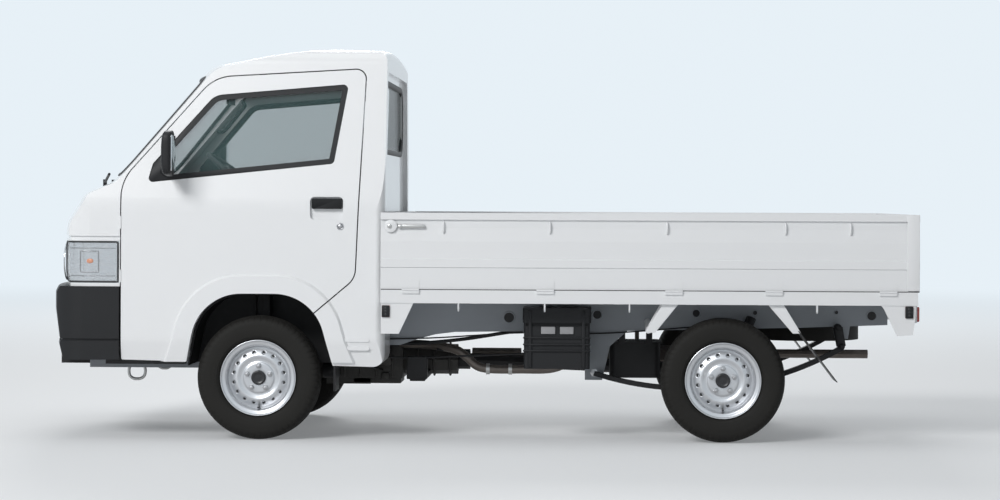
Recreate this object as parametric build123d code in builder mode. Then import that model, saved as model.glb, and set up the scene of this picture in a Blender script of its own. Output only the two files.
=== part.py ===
from build123d import *
from math import cos, pi, radians, sin

# A cab-over light truck with a drop-side bed, in millimetres.
# X points forward, Y to the left and Z up. The origin is on the ground,
# midway along the truck and on its centre line.

# Driving sizes of the whole truck
wheelbase = 2205
front_overhang = 1065
rear_overhang = 925
overall_height = 1890
tyre_diameter = 590
tyre_width = 165
track = 1455

# Clearances
fit_gap = 0.3
panel_gap = 6
overrun = 60

nose_x = (wheelbase + front_overhang + rear_overhang) / 2
tail_x = -nose_x
front_axle_x = nose_x - front_overhang
rear_axle_x = tail_x + rear_overhang
axle_z = tyre_diameter / 2
wheel_y = track / 2
bar_sides = 8


def save(builder, name):
    """Labels a finished piece and writes it to its own file."""
    builder.part.label = name
    export_step(builder.part, f"parts/{name}.step")
    print(name, "has", len(builder.part.solids()), "solids")


def side_plane(y):
    """The side view, X to the right and Z up, at a distance to the left of the centre."""
    return Plane.XZ.offset(-y)


def front_plane(x):
    """The view along the truck, Y to the right and Z up, at a distance ahead of the origin."""
    return Plane.YZ.offset(x)


def floor_plane(z):
    """The plan view at a height above the ground."""
    return Plane.XY.offset(z)


def block(low, high):
    """A plain block between its lowest and highest corners."""
    with BuildPart() as solid:
        with BuildSketch(floor_plane(low[2])):
            with BuildLine():
                Polyline((low[0], low[1]), (high[0], low[1]), (high[0], high[1]), (low[0], high[1]), close=True)
            make_face()
        extrude(amount=high[2] - low[2])
    return solid.part


def side_block(side, low, high):
    """A block given by its corners on the left side, put on the left or the right side."""
    near = min(side * low[1], side * high[1])
    far = max(side * low[1], side * high[1])
    return block((low[0], near, low[2]), (high[0], far, high[2]))


def rod(start, end, radius):
    """A round bar between two points."""
    line = Vector(*end) - Vector(*start)
    with BuildPart() as piece:
        with BuildSketch(Plane(origin=start, z_dir=line)):
            Circle(radius)
        extrude(amount=line.length)
    return piece.part


def bar(start, end, radius):
    """A bar with flat faces between two points, for what is seen only from below."""
    line = Vector(*end) - Vector(*start)
    with BuildPart() as piece:
        with BuildSketch(Plane(origin=start, z_dir=line)):
            RegularPolygon(radius, bar_sides)
        extrude(amount=line.length)
    return piece.part


def both_sides(builder):
    """The piece's own solids with their mirror images across the truck."""
    with BuildPart() as pair:
        add(builder.part)
        add(mirror(builder.part, about=Plane.XZ, mode=Mode.PRIVATE))
    return pair


def other_side(builder):
    """The mirror image of a piece across the truck."""
    with BuildPart() as image:
        add(mirror(builder.part, about=Plane.XZ, mode=Mode.PRIVATE))
    return image


# The cab's outer form, shared by its shell, doors, glass and lamps

cab_half_width = 828
cab_wall = 45
nose_setback = 47.5
axle_to_cab_back = 602.5
cab_front_x = nose_x - nose_setback
cab_back_x = front_axle_x - axle_to_cab_back
cab_length = cab_front_x - cab_back_x
front_bulge = 120
roof_crown = 42
nose_corner_radius = 230

# Side view of the cab: share of its length, share of the truck's height,
# share of the front bulge lost at the sides, share of the crown lost at the sides, fillet as a
# share of the truck's height
cab_side_shares = (
    (0.000, 0.185, 0, 0, 0.030),
    (0.963, 0.203, 1, 0, 0.030),
    (1.000, 0.418, 1, 0, 0.200),
    (1.000, 0.540, 1, 0, 0.060),
    (0.945, 0.618, 1, 0, 0.030),
    (0.861, 0.648, 1, 0, 0.060),
    (0.562, 0.953, 1, 1, 0.085),
    (0.260, 1.0005, 0, 1, 1.000),
    (0.000, 0.994, 0, 1, 0.025),
)

# View from the front: share of the cab's half width, share of the truck's height, fillet share
cab_front_shares = (
    (0.966, 0.170, 0.005),
    (1.000, 0.250, 0.080),
    (1.000, 0.590, 0.200),
    (0.835, 0.975, 0.042),
    (0.500, 1.010, 0.020),
)


def cab_volume(inset):
    """The cab's outer form, drawn in on every side by the inset, or grown when it is negative."""
    reach = cab_half_width + max(0, -inset)
    with BuildPart() as volume:
        for side in (-1, 0, 1):
            points = []
            for along, up, bulge, crown, _ in cab_side_shares:
                x = cab_back_x + along * cab_length - abs(side) * bulge * front_bulge
                z = up * overall_height - abs(side) * crown * roof_crown
                points.append((x, z))
            with BuildSketch(side_plane(side * reach)):
                with BuildLine():
                    radii = [row[4] * overall_height for row in cab_side_shares]
                    FilletPolyline(*points, radius=radii, close=True)
                make_face()
                if inset:
                    offset(amount=-inset)
        loft()
        with BuildSketch(front_plane(cab_back_x - overrun)):
            right = [(-wide * cab_half_width, up * overall_height) for wide, up, _ in cab_front_shares]
            left = [(-y, z) for y, z in reversed(right)]
            radii = [row[2] * overall_height for row in cab_front_shares]
            with BuildLine():
                FilletPolyline(*right, *left, radius=radii + radii[::-1], close=True)
            make_face()
            if inset:
                offset(amount=-inset)
        extrude(amount=cab_length + 2 * overrun, mode=Mode.INTERSECT)
        with BuildSketch(floor_plane(0)):
            with BuildLine():
                half = cab_half_width + fit_gap
                FilletPolyline(
                    (cab_back_x, -half),
                    (cab_front_x, -half),
                    (cab_front_x, half),
                    (cab_back_x, half),
                    radius=[nose_setback, nose_corner_radius, nose_corner_radius, nose_setback],
                    close=True,
                )
            make_face()
            if inset:
                offset(amount=-inset)
        extrude(amount=overall_height + overrun, mode=Mode.INTERSECT)
    return volume.part


door_front_share = 0.774
door_low_share = 0.196
door_hinge_x = cab_back_x + door_front_share * cab_length + panel_gap / 2
door_pin_radius = 4.5
door_pin_length = 60
door_pin_shares = (0.395, 0.530)
door_wall_depth = 68
shell_floor_z = 460
arch_lift = 401
arch_radius = 240
arch_shares = ((0.860, 0.120), (0.681, 1.0), (-0.658, 1.0), (-0.898, 0.120))
flare_width = 125
flare_slope = 42
flare_proud = 14
flare_root_depth = 40
rib_length = 149
rib_height = 18
rib_proud = 4
rib_back_x = 500
rib_shares = (0.2535, 0.2323)
nose_groove_top_z = 966
nose_groove_bottom_z = 948
nose_groove_depth = 9
rear_recess_depth = 20
glass_thickness = 6
bumper_top_z = 727
lamp_top_z = 943
lamp_bottom_z = 743
lamp_inner_y = 470
lamp_depth = cab_wall
lamp_lens_thickness = 5
lamp_back_x = door_hinge_x + panel_gap
grille_half_width = 455
grille_bottom_z = 752
grille_top_z = 880
sheet = 22
liner_inner_y = 465
liner_thickness = 7
seat_box_top_z = axle_z + arch_lift + fit_gap + sheet
frame_opening_y = 470
outer_y = cab_half_width + overrun
door_near_y = 0.6 * cab_half_width
screen_back_x = cab_back_x + 0.5 * cab_length
inner_floor_half_width = cab_half_width - door_wall_depth
bumper_cut_x = door_hinge_x - 5 * panel_gap

door_low_z = door_low_share * overall_height

# Side view of the door: share of the cab's length, share of the truck's height, fillet share
door_shares = (
    (0.586, door_low_share, 0.004),
    (door_front_share, door_low_share, 0.010),
    (door_front_share, 0.650, 0.106),
    (0.509, 0.9127, 0.100),
    (0.062, 0.935, 0.024),
    (0.088, 0.408, 0.050),
    (0.135, 0.374, 0.020),
    (0.205, 0.323, 0.010),
    (0.300, 0.270, 0.004),
)

# Side view of the door's window, in the same shares
door_window_shares = (
    (0.700, 0.646, 0.010),
    (0.685, 0.694, 0.010),
    (0.508, 0.868, 0.050),
    (0.112, 0.897, 0.012),
    (0.152, 0.695, 0.012),
)

# Front view of the windscreen, rear view of the rear window, and rear view of the recess round
# that window: share of the half width, share of the height, fillet share
screen_shares = (
    (-0.895, 0.668, 0.035),
    (0.895, 0.668, 0.035),
    (0.790, 0.915, 0.035),
    (-0.790, 0.915, 0.035),
)
back_light_shares = (
    (-0.665, 0.733, 0.030),
    (0.665, 0.733, 0.030),
    (0.640, 0.900, 0.030),
    (-0.640, 0.900, 0.030),
)
rear_recess_shares = (
    (-0.900, 0.430, 0.030),
    (0.900, 0.430, 0.030),
    (0.780, 0.930, 0.030),
    (-0.780, 0.930, 0.030),
)


def side_points(shares):
    """Points of a side view from shares of the cab's length and of the truck's height."""
    return [(cab_back_x + row[0] * cab_length, row[1] * overall_height) for row in shares]


def front_points(shares):
    """Points of a front view from shares of the cab's half width and of the truck's height."""
    return [(row[0] * cab_half_width, row[1] * overall_height) for row in shares]


def rounding(shares):
    """The fillets of an outline, from shares of the truck's height."""
    return [row[2] * overall_height for row in shares]


def side_prism(shares, shrink, near_y, far_y):
    """A solid of a side view outline, from one distance left of the centre to another."""
    with BuildPart() as prism:
        with BuildSketch(side_plane(near_y)):
            with BuildLine():
                FilletPolyline(*side_points(shares), radius=rounding(shares), close=True)
            make_face()
            if shrink:
                offset(amount=-shrink)
        extrude(amount=-(far_y - near_y))
    return prism.part


def front_prism(shares, shrink, near_x, far_x):
    """A solid of a front view outline, from one distance ahead of the origin to another."""
    with BuildPart() as prism:
        with BuildSketch(front_plane(near_x)):
            with BuildLine():
                FilletPolyline(*front_points(shares), radius=rounding(shares), close=True)
            make_face()
            if shrink:
                offset(amount=-shrink)
        extrude(amount=far_x - near_x)
    return prism.part


def arch_outline(plane, grow):
    """The wheel arch's side outline about the front axle, grown outward, as a sketch on a plane."""
    with BuildSketch(plane) as outline:
        with BuildLine():
            top = [(front_axle_x + along * arch_lift, axle_z + up * arch_lift) for along, up in arch_shares]
            foot_z = axle_z - arch_lift
            front_foot = (top[0][0] + panel_gap, foot_z)
            back_foot = (top[-1][0] - panel_gap, foot_z)
            radii = [0, 0, arch_radius, arch_radius, 0, 0]
            FilletPolyline(front_foot, *top, back_foot, radius=radii, close=True)
        make_face()
        if grow:
            offset(amount=grow)
    return outline.sketch


def arch_prism(grow, near_y, far_y):
    """The wheel arch's outline carried from one side distance to another."""
    with BuildPart() as prism:
        add(arch_outline(side_plane(max(near_y, far_y)), grow))
        extrude(amount=abs(far_y - near_y), dir=(0, -1, 0))
    return prism.part


def hinge_pins(side, radius):
    """The upper and lower hinge pins of the door on one side."""
    with BuildPart() as pins:
        for share in door_pin_shares:
            with BuildSketch(floor_plane(share * overall_height)):
                with Locations((door_hinge_x, side * cab_half_width)):
                    Circle(radius)
            extrude(amount=door_pin_length)
    return pins.part


cab_outer = cab_volume(0)
cab_inner = cab_volume(cab_wall)
glass_skin = cab_volume(glass_thickness)

with BuildPart() as cab_skin:
    add(cab_outer)
    add(cab_inner, mode=Mode.SUBTRACT)
    add(
        block(
            (cab_back_x + cab_wall, -inner_floor_half_width, 0),
            (cab_front_x, inner_floor_half_width, shell_floor_z),
        ),
        mode=Mode.SUBTRACT,
    )

# The flare round each front wheel arch: a raised band whose outer edge slopes into the body side
with BuildPart() as flare_left:
    add(arch_outline(side_plane(cab_half_width - flare_root_depth), flare_width))
    add(arch_outline(side_plane(cab_half_width + flare_proud), flare_width - flare_slope))
    loft()
    add(cab_volume(-flare_proud), mode=Mode.INTERSECT)
    add(cab_inner, mode=Mode.SUBTRACT)
    add(block((cab_back_x, 0, 0), (nose_x, outer_y, door_low_z)), mode=Mode.SUBTRACT)
flare_right = other_side(flare_left)

with BuildPart() as rib_left:
    for share in rib_shares:
        with BuildSketch(side_plane(cab_half_width - cab_wall / 2)):
            with Locations((rib_back_x + rib_length / 2, share * overall_height)):
                SlotOverall(rib_length, rib_height)
        extrude(amount=-(cab_wall / 2 + rib_proud))

with BuildPart() as nose_groove:
    add(cab_outer)
    add(cab_volume(nose_groove_depth), mode=Mode.SUBTRACT)
    add(
        block((door_hinge_x - panel_gap, -outer_y, nose_groove_bottom_z), (nose_x, outer_y, nose_groove_top_z)),
        mode=Mode.INTERSECT,
    )

with BuildPart() as cab_shell:
    add(cab_skin.part)
    add(flare_left.part)
    add(flare_right.part)
    add(rib_left.part)
    add(other_side(rib_left).part)
    for side in (-1, 1):
        add(side_prism(door_shares, -panel_gap, side * door_near_y, side * outer_y), mode=Mode.SUBTRACT)
        add(arch_prism(fit_gap, side * liner_inner_y, side * outer_y), mode=Mode.SUBTRACT)
        add(
            side_block(side, (lamp_back_x, lamp_inner_y, lamp_bottom_z), (nose_x, outer_y, lamp_top_z)),
            mode=Mode.SUBTRACT,
        )
    add(front_prism(screen_shares, 0, screen_back_x, nose_x), mode=Mode.SUBTRACT)
    add(
        front_prism(back_light_shares, 0, cab_back_x - overrun, cab_back_x + overrun),
        mode=Mode.SUBTRACT,
    )
    add(
        front_prism(rear_recess_shares, 0, cab_back_x - overrun, cab_back_x + rear_recess_depth),
        mode=Mode.SUBTRACT,
    )
    add(block((bumper_cut_x, -outer_y, 0), (nose_x, outer_y, bumper_top_z)), mode=Mode.SUBTRACT)
    add(
        block(
            (cab_back_x - overrun, -frame_opening_y, 0),
            (cab_back_x + 2 * cab_wall, frame_opening_y, seat_box_top_z - sheet - fit_gap),
        ),
        mode=Mode.SUBTRACT,
    )
    add(
        block(
            (door_hinge_x, -grille_half_width, grille_bottom_z), (nose_x, grille_half_width, grille_top_z)
        ),
        mode=Mode.SUBTRACT,
    )
    add(nose_groove.part, mode=Mode.SUBTRACT)
    add(hinge_pins(1, door_pin_radius))
    add(hinge_pins(-1, door_pin_radius))
save(cab_shell, "cab_shell")

with BuildPart() as windscreen:
    add(cab_outer)
    add(glass_skin, mode=Mode.SUBTRACT)
    add(front_prism(screen_shares, fit_gap, screen_back_x, nose_x), mode=Mode.INTERSECT)
save(windscreen, "windscreen")

with BuildPart() as rear_window:
    back_glass_x = cab_back_x + rear_recess_depth + glass_thickness
    add(front_prism(back_light_shares, fit_gap, back_glass_x, back_glass_x + glass_thickness))
save(rear_window, "rear_window")

# The doors, with their glass and what is fixed on them

frame_set = 4
frame_width = 26
glass_depth = 20
sail_back_x = 1471
handle_recess = (157, 108)
handle_recess_back_x = 628
handle_recess_low_z = 1048
handle_recess_depth = 18
handle = (145, 50)
handle_back_x = 632
handle_low_z = 1099
handle_proud = 3
lock_radius = 16
lock_x = 641
lock_z = 1017

with BuildPart() as handle_pocket:
    with BuildSketch(side_plane(cab_half_width - handle_recess_depth)):
        pocket_x = handle_recess_back_x + handle_recess[0] / 2
        pocket_z = handle_recess_low_z + handle_recess[1] / 2
        with Locations((pocket_x, pocket_z)):
            RectangleRounded(*handle_recess, handle_recess[1] / 5)
    extrude(amount=-2 * handle_recess_depth)

door_prism = side_prism(door_shares, 0, door_near_y, outer_y)
with BuildPart() as door_flare:
    add(flare_left.part)
    add(door_prism, mode=Mode.INTERSECT)

with BuildPart() as door_left:
    add(cab_skin.part)
    add(door_prism, mode=Mode.INTERSECT)
    add(door_flare.part)
    add(arch_prism(fit_gap, liner_inner_y, outer_y), mode=Mode.SUBTRACT)
    add(side_prism(door_window_shares, 0, door_near_y, outer_y), mode=Mode.SUBTRACT)
    add(hinge_pins(1, door_pin_radius + fit_gap), mode=Mode.SUBTRACT)
    add(handle_pocket.part, mode=Mode.SUBTRACT)
save(door_left, "door_left")
save(other_side(door_left), "door_right")

glass_outer = cab_volume(glass_depth)
glass_inner = cab_volume(glass_depth + glass_thickness)

with BuildPart() as door_glass_left:
    add(glass_outer)
    add(glass_inner, mode=Mode.SUBTRACT)
    add(side_prism(door_window_shares, fit_gap, door_near_y, outer_y), mode=Mode.INTERSECT)
    add(block((sail_back_x - fit_gap, 0, 0), (nose_x, outer_y, overall_height)), mode=Mode.SUBTRACT)
save(door_glass_left, "door_glass_left")
save(other_side(door_glass_left), "door_glass_right")

# Black window surround with its sail panel, mirror, handle and lock of each door

mirror_head = (62, 160, 218)
mirror_top_z = 1467
mirror_front_x = 1471
mirror_y = cab_half_width + 0.75 * mirror_head[1]
arm_radius = 9
arm_z = mirror_top_z - 0.75 * mirror_head[2]
arm_x = mirror_front_x + arm_radius
arm_end_y = mirror_y - mirror_head[1] / 2
frame_outer = cab_volume(frame_set)

with BuildPart() as clear_glass:
    add(side_prism(door_window_shares, frame_width, door_near_y, outer_y))
    add(block((sail_back_x - frame_width, 0, 0), (nose_x, outer_y, overall_height)), mode=Mode.SUBTRACT)

with BuildPart() as surround:
    add(frame_outer)
    add(glass_outer, mode=Mode.SUBTRACT)
    add(side_prism(door_window_shares, fit_gap, door_near_y, outer_y), mode=Mode.INTERSECT)
    add(clear_glass.part, mode=Mode.SUBTRACT)

with BuildPart() as mirror_arm:
    add(bar((arm_x, door_near_y, arm_z), (arm_x, arm_end_y, arm_z), arm_radius))
    add(frame_outer, mode=Mode.SUBTRACT)

with BuildPart() as mirror_case:
    with BuildSketch(floor_plane(mirror_top_z - mirror_head[2])):
        with Locations((arm_x - mirror_head[0] / 2 + 2 * arm_radius, mirror_y)):
            RectangleRounded(mirror_head[0], mirror_head[1], 0.4 * mirror_head[0])
    extrude(amount=mirror_head[2])

with BuildPart() as door_handle:
    with BuildSketch(side_plane(cab_half_width - handle_recess_depth + fit_gap)):
        with Locations((handle_back_x + handle[0] / 2, handle_low_z + handle[1] / 2)):
            RectangleRounded(*handle, handle[1] / 6)
    extrude(amount=-(handle_recess_depth + handle_proud))

with BuildPart() as door_lock:
    lock_start = (lock_x, cab_half_width + fit_gap, lock_z)
    add(bar(lock_start, (lock_x, cab_half_width + handle_proud, lock_z), lock_radius))

with BuildPart() as door_fittings_left:
    add(surround.part)
    add(mirror_arm.part)
    add(mirror_case.part)
    add(door_handle.part)
    add(door_lock.part)
save(door_fittings_left, "door_fittings_left")
save(other_side(door_fittings_left), "door_fittings_right")

# Front bumper, black moulded plastic, round the front of the cab

bumper_wall = 40
bumper_bottom_z = 376
bumper_height = bumper_top_z - bumper_bottom_z
bumper_back_x = door_hinge_x + panel_gap
bumper_half_width = cab_half_width + 4
bumper_length = nose_x - bumper_back_x
bumper_groove_z = 473
bumper_groove_height = 11
bumper_groove_depth = 9

# Side view: share of the bumper's length, share of its height, fillet share of its height
bumper_side_shares = (
    (0.000, 0.010, 0.00),
    (0.900, 0.000, 0.05),
    (0.955, 0.215, 0.03),
    (0.945, 0.275, 0.03),
    (1.000, 0.690, 0.10),
    (1.000, 0.920, 0.06),
    (0.960, 1.000, 0.04),
    (0.000, 1.000, 0.00),
)

bumper_bulge = 112
bumper_corner_radius = 190


def bumper_volume(inset):
    """The bumper's outer form, drawn in by the inset on its front and sides."""
    with BuildPart() as volume:
        for side in (-1, 0, 1):
            with BuildSketch(side_plane(side * bumper_half_width)):
                with BuildLine():
                    points = []
                    for along, up, _ in bumper_side_shares:
                        x = bumper_back_x + along * (bumper_length - abs(side) * bumper_bulge) - inset
                        points.append((x, bumper_bottom_z + up * bumper_height))
                    radii = [row[2] * bumper_height for row in bumper_side_shares]
                    FilletPolyline(*points, radius=radii, close=True)
                make_face()
        loft()
        with BuildSketch(floor_plane(0)):
            half = bumper_half_width - inset
            back = bumper_back_x - 2 * inset
            front = nose_x - bumper_bulge / 2 - inset
            corner = bumper_corner_radius - inset
            with BuildLine():
                FilletPolyline(
                    (back, -half),
                    (front, -half),
                    (nose_x + panel_gap, 0),
                    (front, half),
                    (back, half),
                    radius=[0, corner, 0, corner, 0],
                    close=True,
                )
            make_face()
        extrude(amount=overall_height, mode=Mode.INTERSECT)
    return volume.part


with BuildPart() as bumper_groove:
    add(bumper_volume(0))
    add(bumper_volume(bumper_groove_depth), mode=Mode.SUBTRACT)
    add(
        block(
            (bumper_back_x, -outer_y, bumper_groove_z - bumper_groove_height / 2),
            (nose_x, outer_y, bumper_groove_z + bumper_groove_height / 2),
        ),
        mode=Mode.INTERSECT,
    )

with BuildPart() as front_bumper:
    add(bumper_volume(0))
    add(bumper_volume(bumper_wall), mode=Mode.SUBTRACT)
    add(bumper_groove.part, mode=Mode.SUBTRACT)
save(front_bumper, "front_bumper")

# Each headlamp is a clear lens over a housing with a round bowl

lamp_bowl_radius = 78
lamp_bowl_depth = 34
lamp_bowl_y = 610
lamp_bowl_slope = 20

with BuildPart() as lamp_space:
    add(cab_outer)
    add(cab_volume(lamp_depth), mode=Mode.SUBTRACT)
    add(
        block(
            (lamp_back_x + fit_gap, lamp_inner_y + fit_gap, lamp_bottom_z + fit_gap),
            (nose_x, outer_y, lamp_top_z - fit_gap),
        ),
        mode=Mode.INTERSECT,
    )
lamp_inside = cab_volume(lamp_lens_thickness)
with BuildPart() as lens_left:
    add(lamp_space.part)
    add(lamp_inside, mode=Mode.SUBTRACT)
headlamps = both_sides(lens_left)
save(headlamps, "headlamps")

with BuildPart() as housing_left:
    add(lamp_space.part)
    add(lamp_inside, mode=Mode.INTERSECT)
    lamp_middle_z = (lamp_top_z + lamp_bottom_z) / 2
    with BuildSketch(front_plane(cab_front_x - lamp_bowl_depth - lamp_depth)):
        with Locations((lamp_bowl_y, lamp_middle_z)):
            Circle(lamp_bowl_radius - lamp_bowl_slope)
    with BuildSketch(front_plane(cab_front_x)):
        with Locations((lamp_bowl_y, lamp_middle_z)):
            Circle(lamp_bowl_radius + lamp_bowl_slope)
    loft(mode=Mode.SUBTRACT)
lamp_housings = both_sides(housing_left)
save(lamp_housings, "lamp_housings")

grille_bars = 5
grille_bar_height = 12
grille_depth = 30
grille_pitch = (grille_top_z - grille_bottom_z) / (grille_bars + 1)
with BuildPart() as grille:
    add(cab_outer)
    add(cab_volume(grille_depth), mode=Mode.SUBTRACT)
    add(
        block(
            (door_hinge_x, -grille_half_width + fit_gap, grille_bottom_z + fit_gap),
            (nose_x, grille_half_width - fit_gap, grille_top_z - fit_gap),
        ),
        mode=Mode.INTERSECT,
    )
    for index in range(grille_bars + 1):
        low = grille_bottom_z + index * grille_pitch + grille_bar_height / 2
        high = low + grille_pitch - grille_bar_height
        for side in (-1, 1):
            near = grille_bar_height
            far = grille_half_width - grille_bar_height
            add(side_block(side, (door_hinge_x, near, low), (nose_x, far, high)), mode=Mode.SUBTRACT)
save(grille, "grille")

wiper_radius = 7
wiper_pivot_radius = 10
wiper_pivot = (1890, 120, 1150)
wiper_pivot_height = 90
wiper_tip = (1790, 560, 1262)
wiper_lift = 75
with BuildPart() as wiper:
    add(bar((wiper_pivot[0], wiper_pivot[1], wiper_pivot[2] + wiper_lift), wiper_tip, wiper_radius))
    pivot_top = (wiper_pivot[0], wiper_pivot[1], wiper_pivot[2] + wiper_pivot_height)
    add(bar(wiper_pivot, pivot_top, wiper_pivot_radius))
    add(cab_outer, mode=Mode.SUBTRACT)
wipers = both_sides(wiper)
save(wipers, "wipers")

# Cab floor with the seat box, dashboard, seats and steering

toe_z = 430
toe_front_x = 1945
toe_wall_z = 860
riser_x = 1412
tub_gap = 8
tub_half_width = inner_floor_half_width - tub_gap
floor_back_x = cab_back_x + cab_wall + fit_gap
sill_front_x = 1769
sill_back_x = 1390
sill_inner_y = 690
sill_low_z = 355
with BuildPart() as cab_floor:
    with BuildSketch(side_plane(tub_half_width)):
        with BuildLine():
            Polyline(
                (floor_back_x, seat_box_top_z),
                (riser_x, seat_box_top_z),
                (riser_x, toe_z),
                (toe_front_x, toe_z),
                (toe_front_x, toe_z - sheet),
                (riser_x - sheet, toe_z - sheet),
                (riser_x - sheet, seat_box_top_z - sheet),
                (floor_back_x, seat_box_top_z - sheet),
                close=True,
            )
        make_face()
    extrude(amount=2 * tub_half_width)
    toe_wall_back_x = toe_front_x - sheet
    toe_wall_low = (toe_wall_back_x, -grille_half_width, toe_z - sheet)
    add(block(toe_wall_low, (toe_front_x, grille_half_width, toe_wall_z)))
    for side in (-1, 1):
        sill_low = (sill_back_x, sill_inner_y, sill_low_z)
        add(side_block(side, sill_low, (sill_front_x, tub_half_width, toe_z - sheet)))
    add(front_bumper.part, mode=Mode.SUBTRACT)
save(cab_floor, "cab_floor")

# Side view of the dashboard: share of the cab's front X, share of the truck's height, fillet share
dash_low_share = toe_wall_z / overall_height
dash_side_gap = 30
dash_half_width = cab_half_width - cab_wall - dash_side_gap
dash_shares = (
    (0.7902, 0.6243, 0.010),
    (0.7610, 0.5979, 0.020),
    (0.7659, 0.5344, 0.020),
    (0.8195, dash_low_share, 0.010),
    (1.0000, dash_low_share, 0.003),
    (1.0000, 0.5820, 0.003),
    (0.8585, 0.6402, 0.010),
)
with BuildPart() as dashboard:
    with BuildSketch(side_plane(dash_half_width)):
        with BuildLine():
            points = [(along * cab_front_x, up * overall_height) for along, up, _ in dash_shares]
            FilletPolyline(*points, radius=rounding(dash_shares), close=True)
        make_face()
    extrude(amount=2 * dash_half_width)
    add(cab_volume(cab_wall + fit_gap), mode=Mode.INTERSECT)
save(dashboard, "dashboard")

seat_y = 400
seat_width = 500
seat_low_z = seat_box_top_z + fit_gap
cushion_height = 131
cushion_back_x = 600
cushion_length = 570

# Side views of the seat, as shares of the cushion's length and height: along, up, fillet share
cushion_shares = ((0.000, 0.000, 0.02), (0.965, 0.000, 0.02), (1.000, 1.000, 0.08), (0.000, 0.810, 0.02))
backrest_shares = (
    (0.018, 0.820, 0.015),
    (0.193, 0.8535, 0.025),
    (0.095, 3.550, 0.055),
    (-0.060, 3.550, 0.055),
    (-0.070, 1.765, 0.070),
)
headrest_width = 270
headrest_shares = (
    (0.080, 3.400, 0.020),
    (0.055, 5.000, 0.060),
    (-0.105, 5.000, 0.060),
    (-0.075, 3.400, 0.020),
)


def seat_piece(shares, width):
    """A seat form of its side view, centred on the left seat and as wide as it says."""
    with BuildPart() as form:
        with BuildSketch(side_plane(seat_y + width / 2)):
            with BuildLine():
                points = []
                for along, up, _ in shares:
                    points.append((cushion_back_x + along * cushion_length, seat_low_z + up * cushion_height))
                FilletPolyline(*points, radius=[row[2] * cushion_length for row in shares], close=True)
            make_face()
        extrude(amount=width)
    return form


seat_cushions = both_sides(seat_piece(cushion_shares, seat_width))
save(seat_cushions, "seat_cushions")

with BuildPart() as backrest:
    add(seat_piece(backrest_shares, seat_width).part)
    add(seat_piece(headrest_shares, headrest_width).part)
seat_backs = both_sides(backrest)
save(seat_backs, "seat_backs")

steering_y = -seat_y
wheel_centre = (1299, steering_y, 1271)
steering_tilt = radians(54)
steering_axis = (-cos(steering_tilt), 0, sin(steering_tilt))
rim_radius = 190
rim_bar = 13
rim_sides = 20
hub_radius = 42
steering_plane = Plane(origin=wheel_centre, z_dir=steering_axis)
with BuildPart() as steering_wheel:
    with BuildSketch(steering_plane.offset(-rim_bar)):
        RegularPolygon(rim_radius, rim_sides)
        RegularPolygon(rim_radius - 2 * rim_bar, rim_sides, mode=Mode.SUBTRACT)
    extrude(amount=2 * rim_bar)
    chamfer(steering_wheel.edges(), length=rim_bar / 2)
    with BuildSketch(steering_plane.offset(-3 * rim_bar)):
        Circle(hub_radius)
    extrude(amount=3 * rim_bar)
    with BuildSketch(steering_plane.offset(-rim_bar)):
        with PolarLocations(rim_radius / 2, 3, start_angle=90):
            Rectangle(rim_radius - 2 * rim_bar, 2 * rim_bar)
    extrude(amount=rim_bar)
save(steering_wheel, "steering_wheel")

column_radius = 28
column_end_z = toe_z + fit_gap
column_start = Vector(*wheel_centre) - Vector(*steering_axis) * (3 * rim_bar + fit_gap)
column_length = (column_start.Z - column_end_z) / steering_axis[2]
column_end = column_start - Vector(*steering_axis) * column_length
column_wall_x = toe_wall_back_x - fit_gap
with BuildPart() as steering_column:
    add(rod(tuple(column_start), tuple(column_end), column_radius))
    low_y = steering_y - hub_radius
    high_y = steering_y + hub_radius
    add(block((0, low_y, 0), (nose_x, high_y, column_end_z)), mode=Mode.SUBTRACT)
    add(block((column_wall_x, low_y, 0), (nose_x, high_y, toe_wall_z)), mode=Mode.SUBTRACT)
save(steering_column, "steering_column")

# Room mirror, gear lever, hand brake and pedals
room_mirror = (12, 240, 62)
room_mirror_x = 1275
room_mirror_z = 1620
stalk_radius = 6
gear_lever_foot = (1480, 30)
gear_lever_lean = 40
gear_lever_height = 320
gear_knob_radius = 22
gear_knob_height = 40
pedal_x = 1800
pedal_low_z = 560
pedal_pad = (14, 70, 60)
pedal_shares = (0.36, 0.62, 0.75)
with BuildPart() as cab_trim:
    with BuildSketch(floor_plane(room_mirror_z)):
        with Locations((room_mirror_x, 0)):
            Rectangle(room_mirror[0], room_mirror[1])
    extrude(amount=room_mirror[2])
    stalk_z = room_mirror_z + room_mirror[2] / 2
    add(bar((room_mirror_x, 0, stalk_z), (room_mirror_x + overrun, 0, overall_height - cab_wall), stalk_radius))
    add(cab_inner, mode=Mode.INTERSECT)
    lever_low = (*gear_lever_foot, toe_z + fit_gap)
    lever_high = (gear_lever_foot[0] - gear_lever_lean, gear_lever_foot[1], toe_z + gear_lever_height)
    knob_high = (lever_high[0], lever_high[1], lever_high[2] + gear_knob_height)
    add(bar(lever_low, lever_high, stalk_radius))
    add(bar(lever_high, knob_high, gear_knob_radius))
    for share in pedal_shares:
        pad_y = -share * cab_half_width
        add(
            block(
                (pedal_x, pad_y - pedal_pad[1] / 2, pedal_low_z),
                (pedal_x + pedal_pad[0], pad_y + pedal_pad[1] / 2, pedal_low_z + pedal_pad[2]),
            )
        )
        add(
            block(
                (pedal_x, pad_y - stalk_radius, pedal_low_z),
                (pedal_x + pedal_pad[0], pad_y + stalk_radius, toe_wall_z - fit_gap),
            )
        )
save(cab_trim, "cab_trim")

# The front wheel arches' liners, with a mud flap behind each wheel

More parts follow.
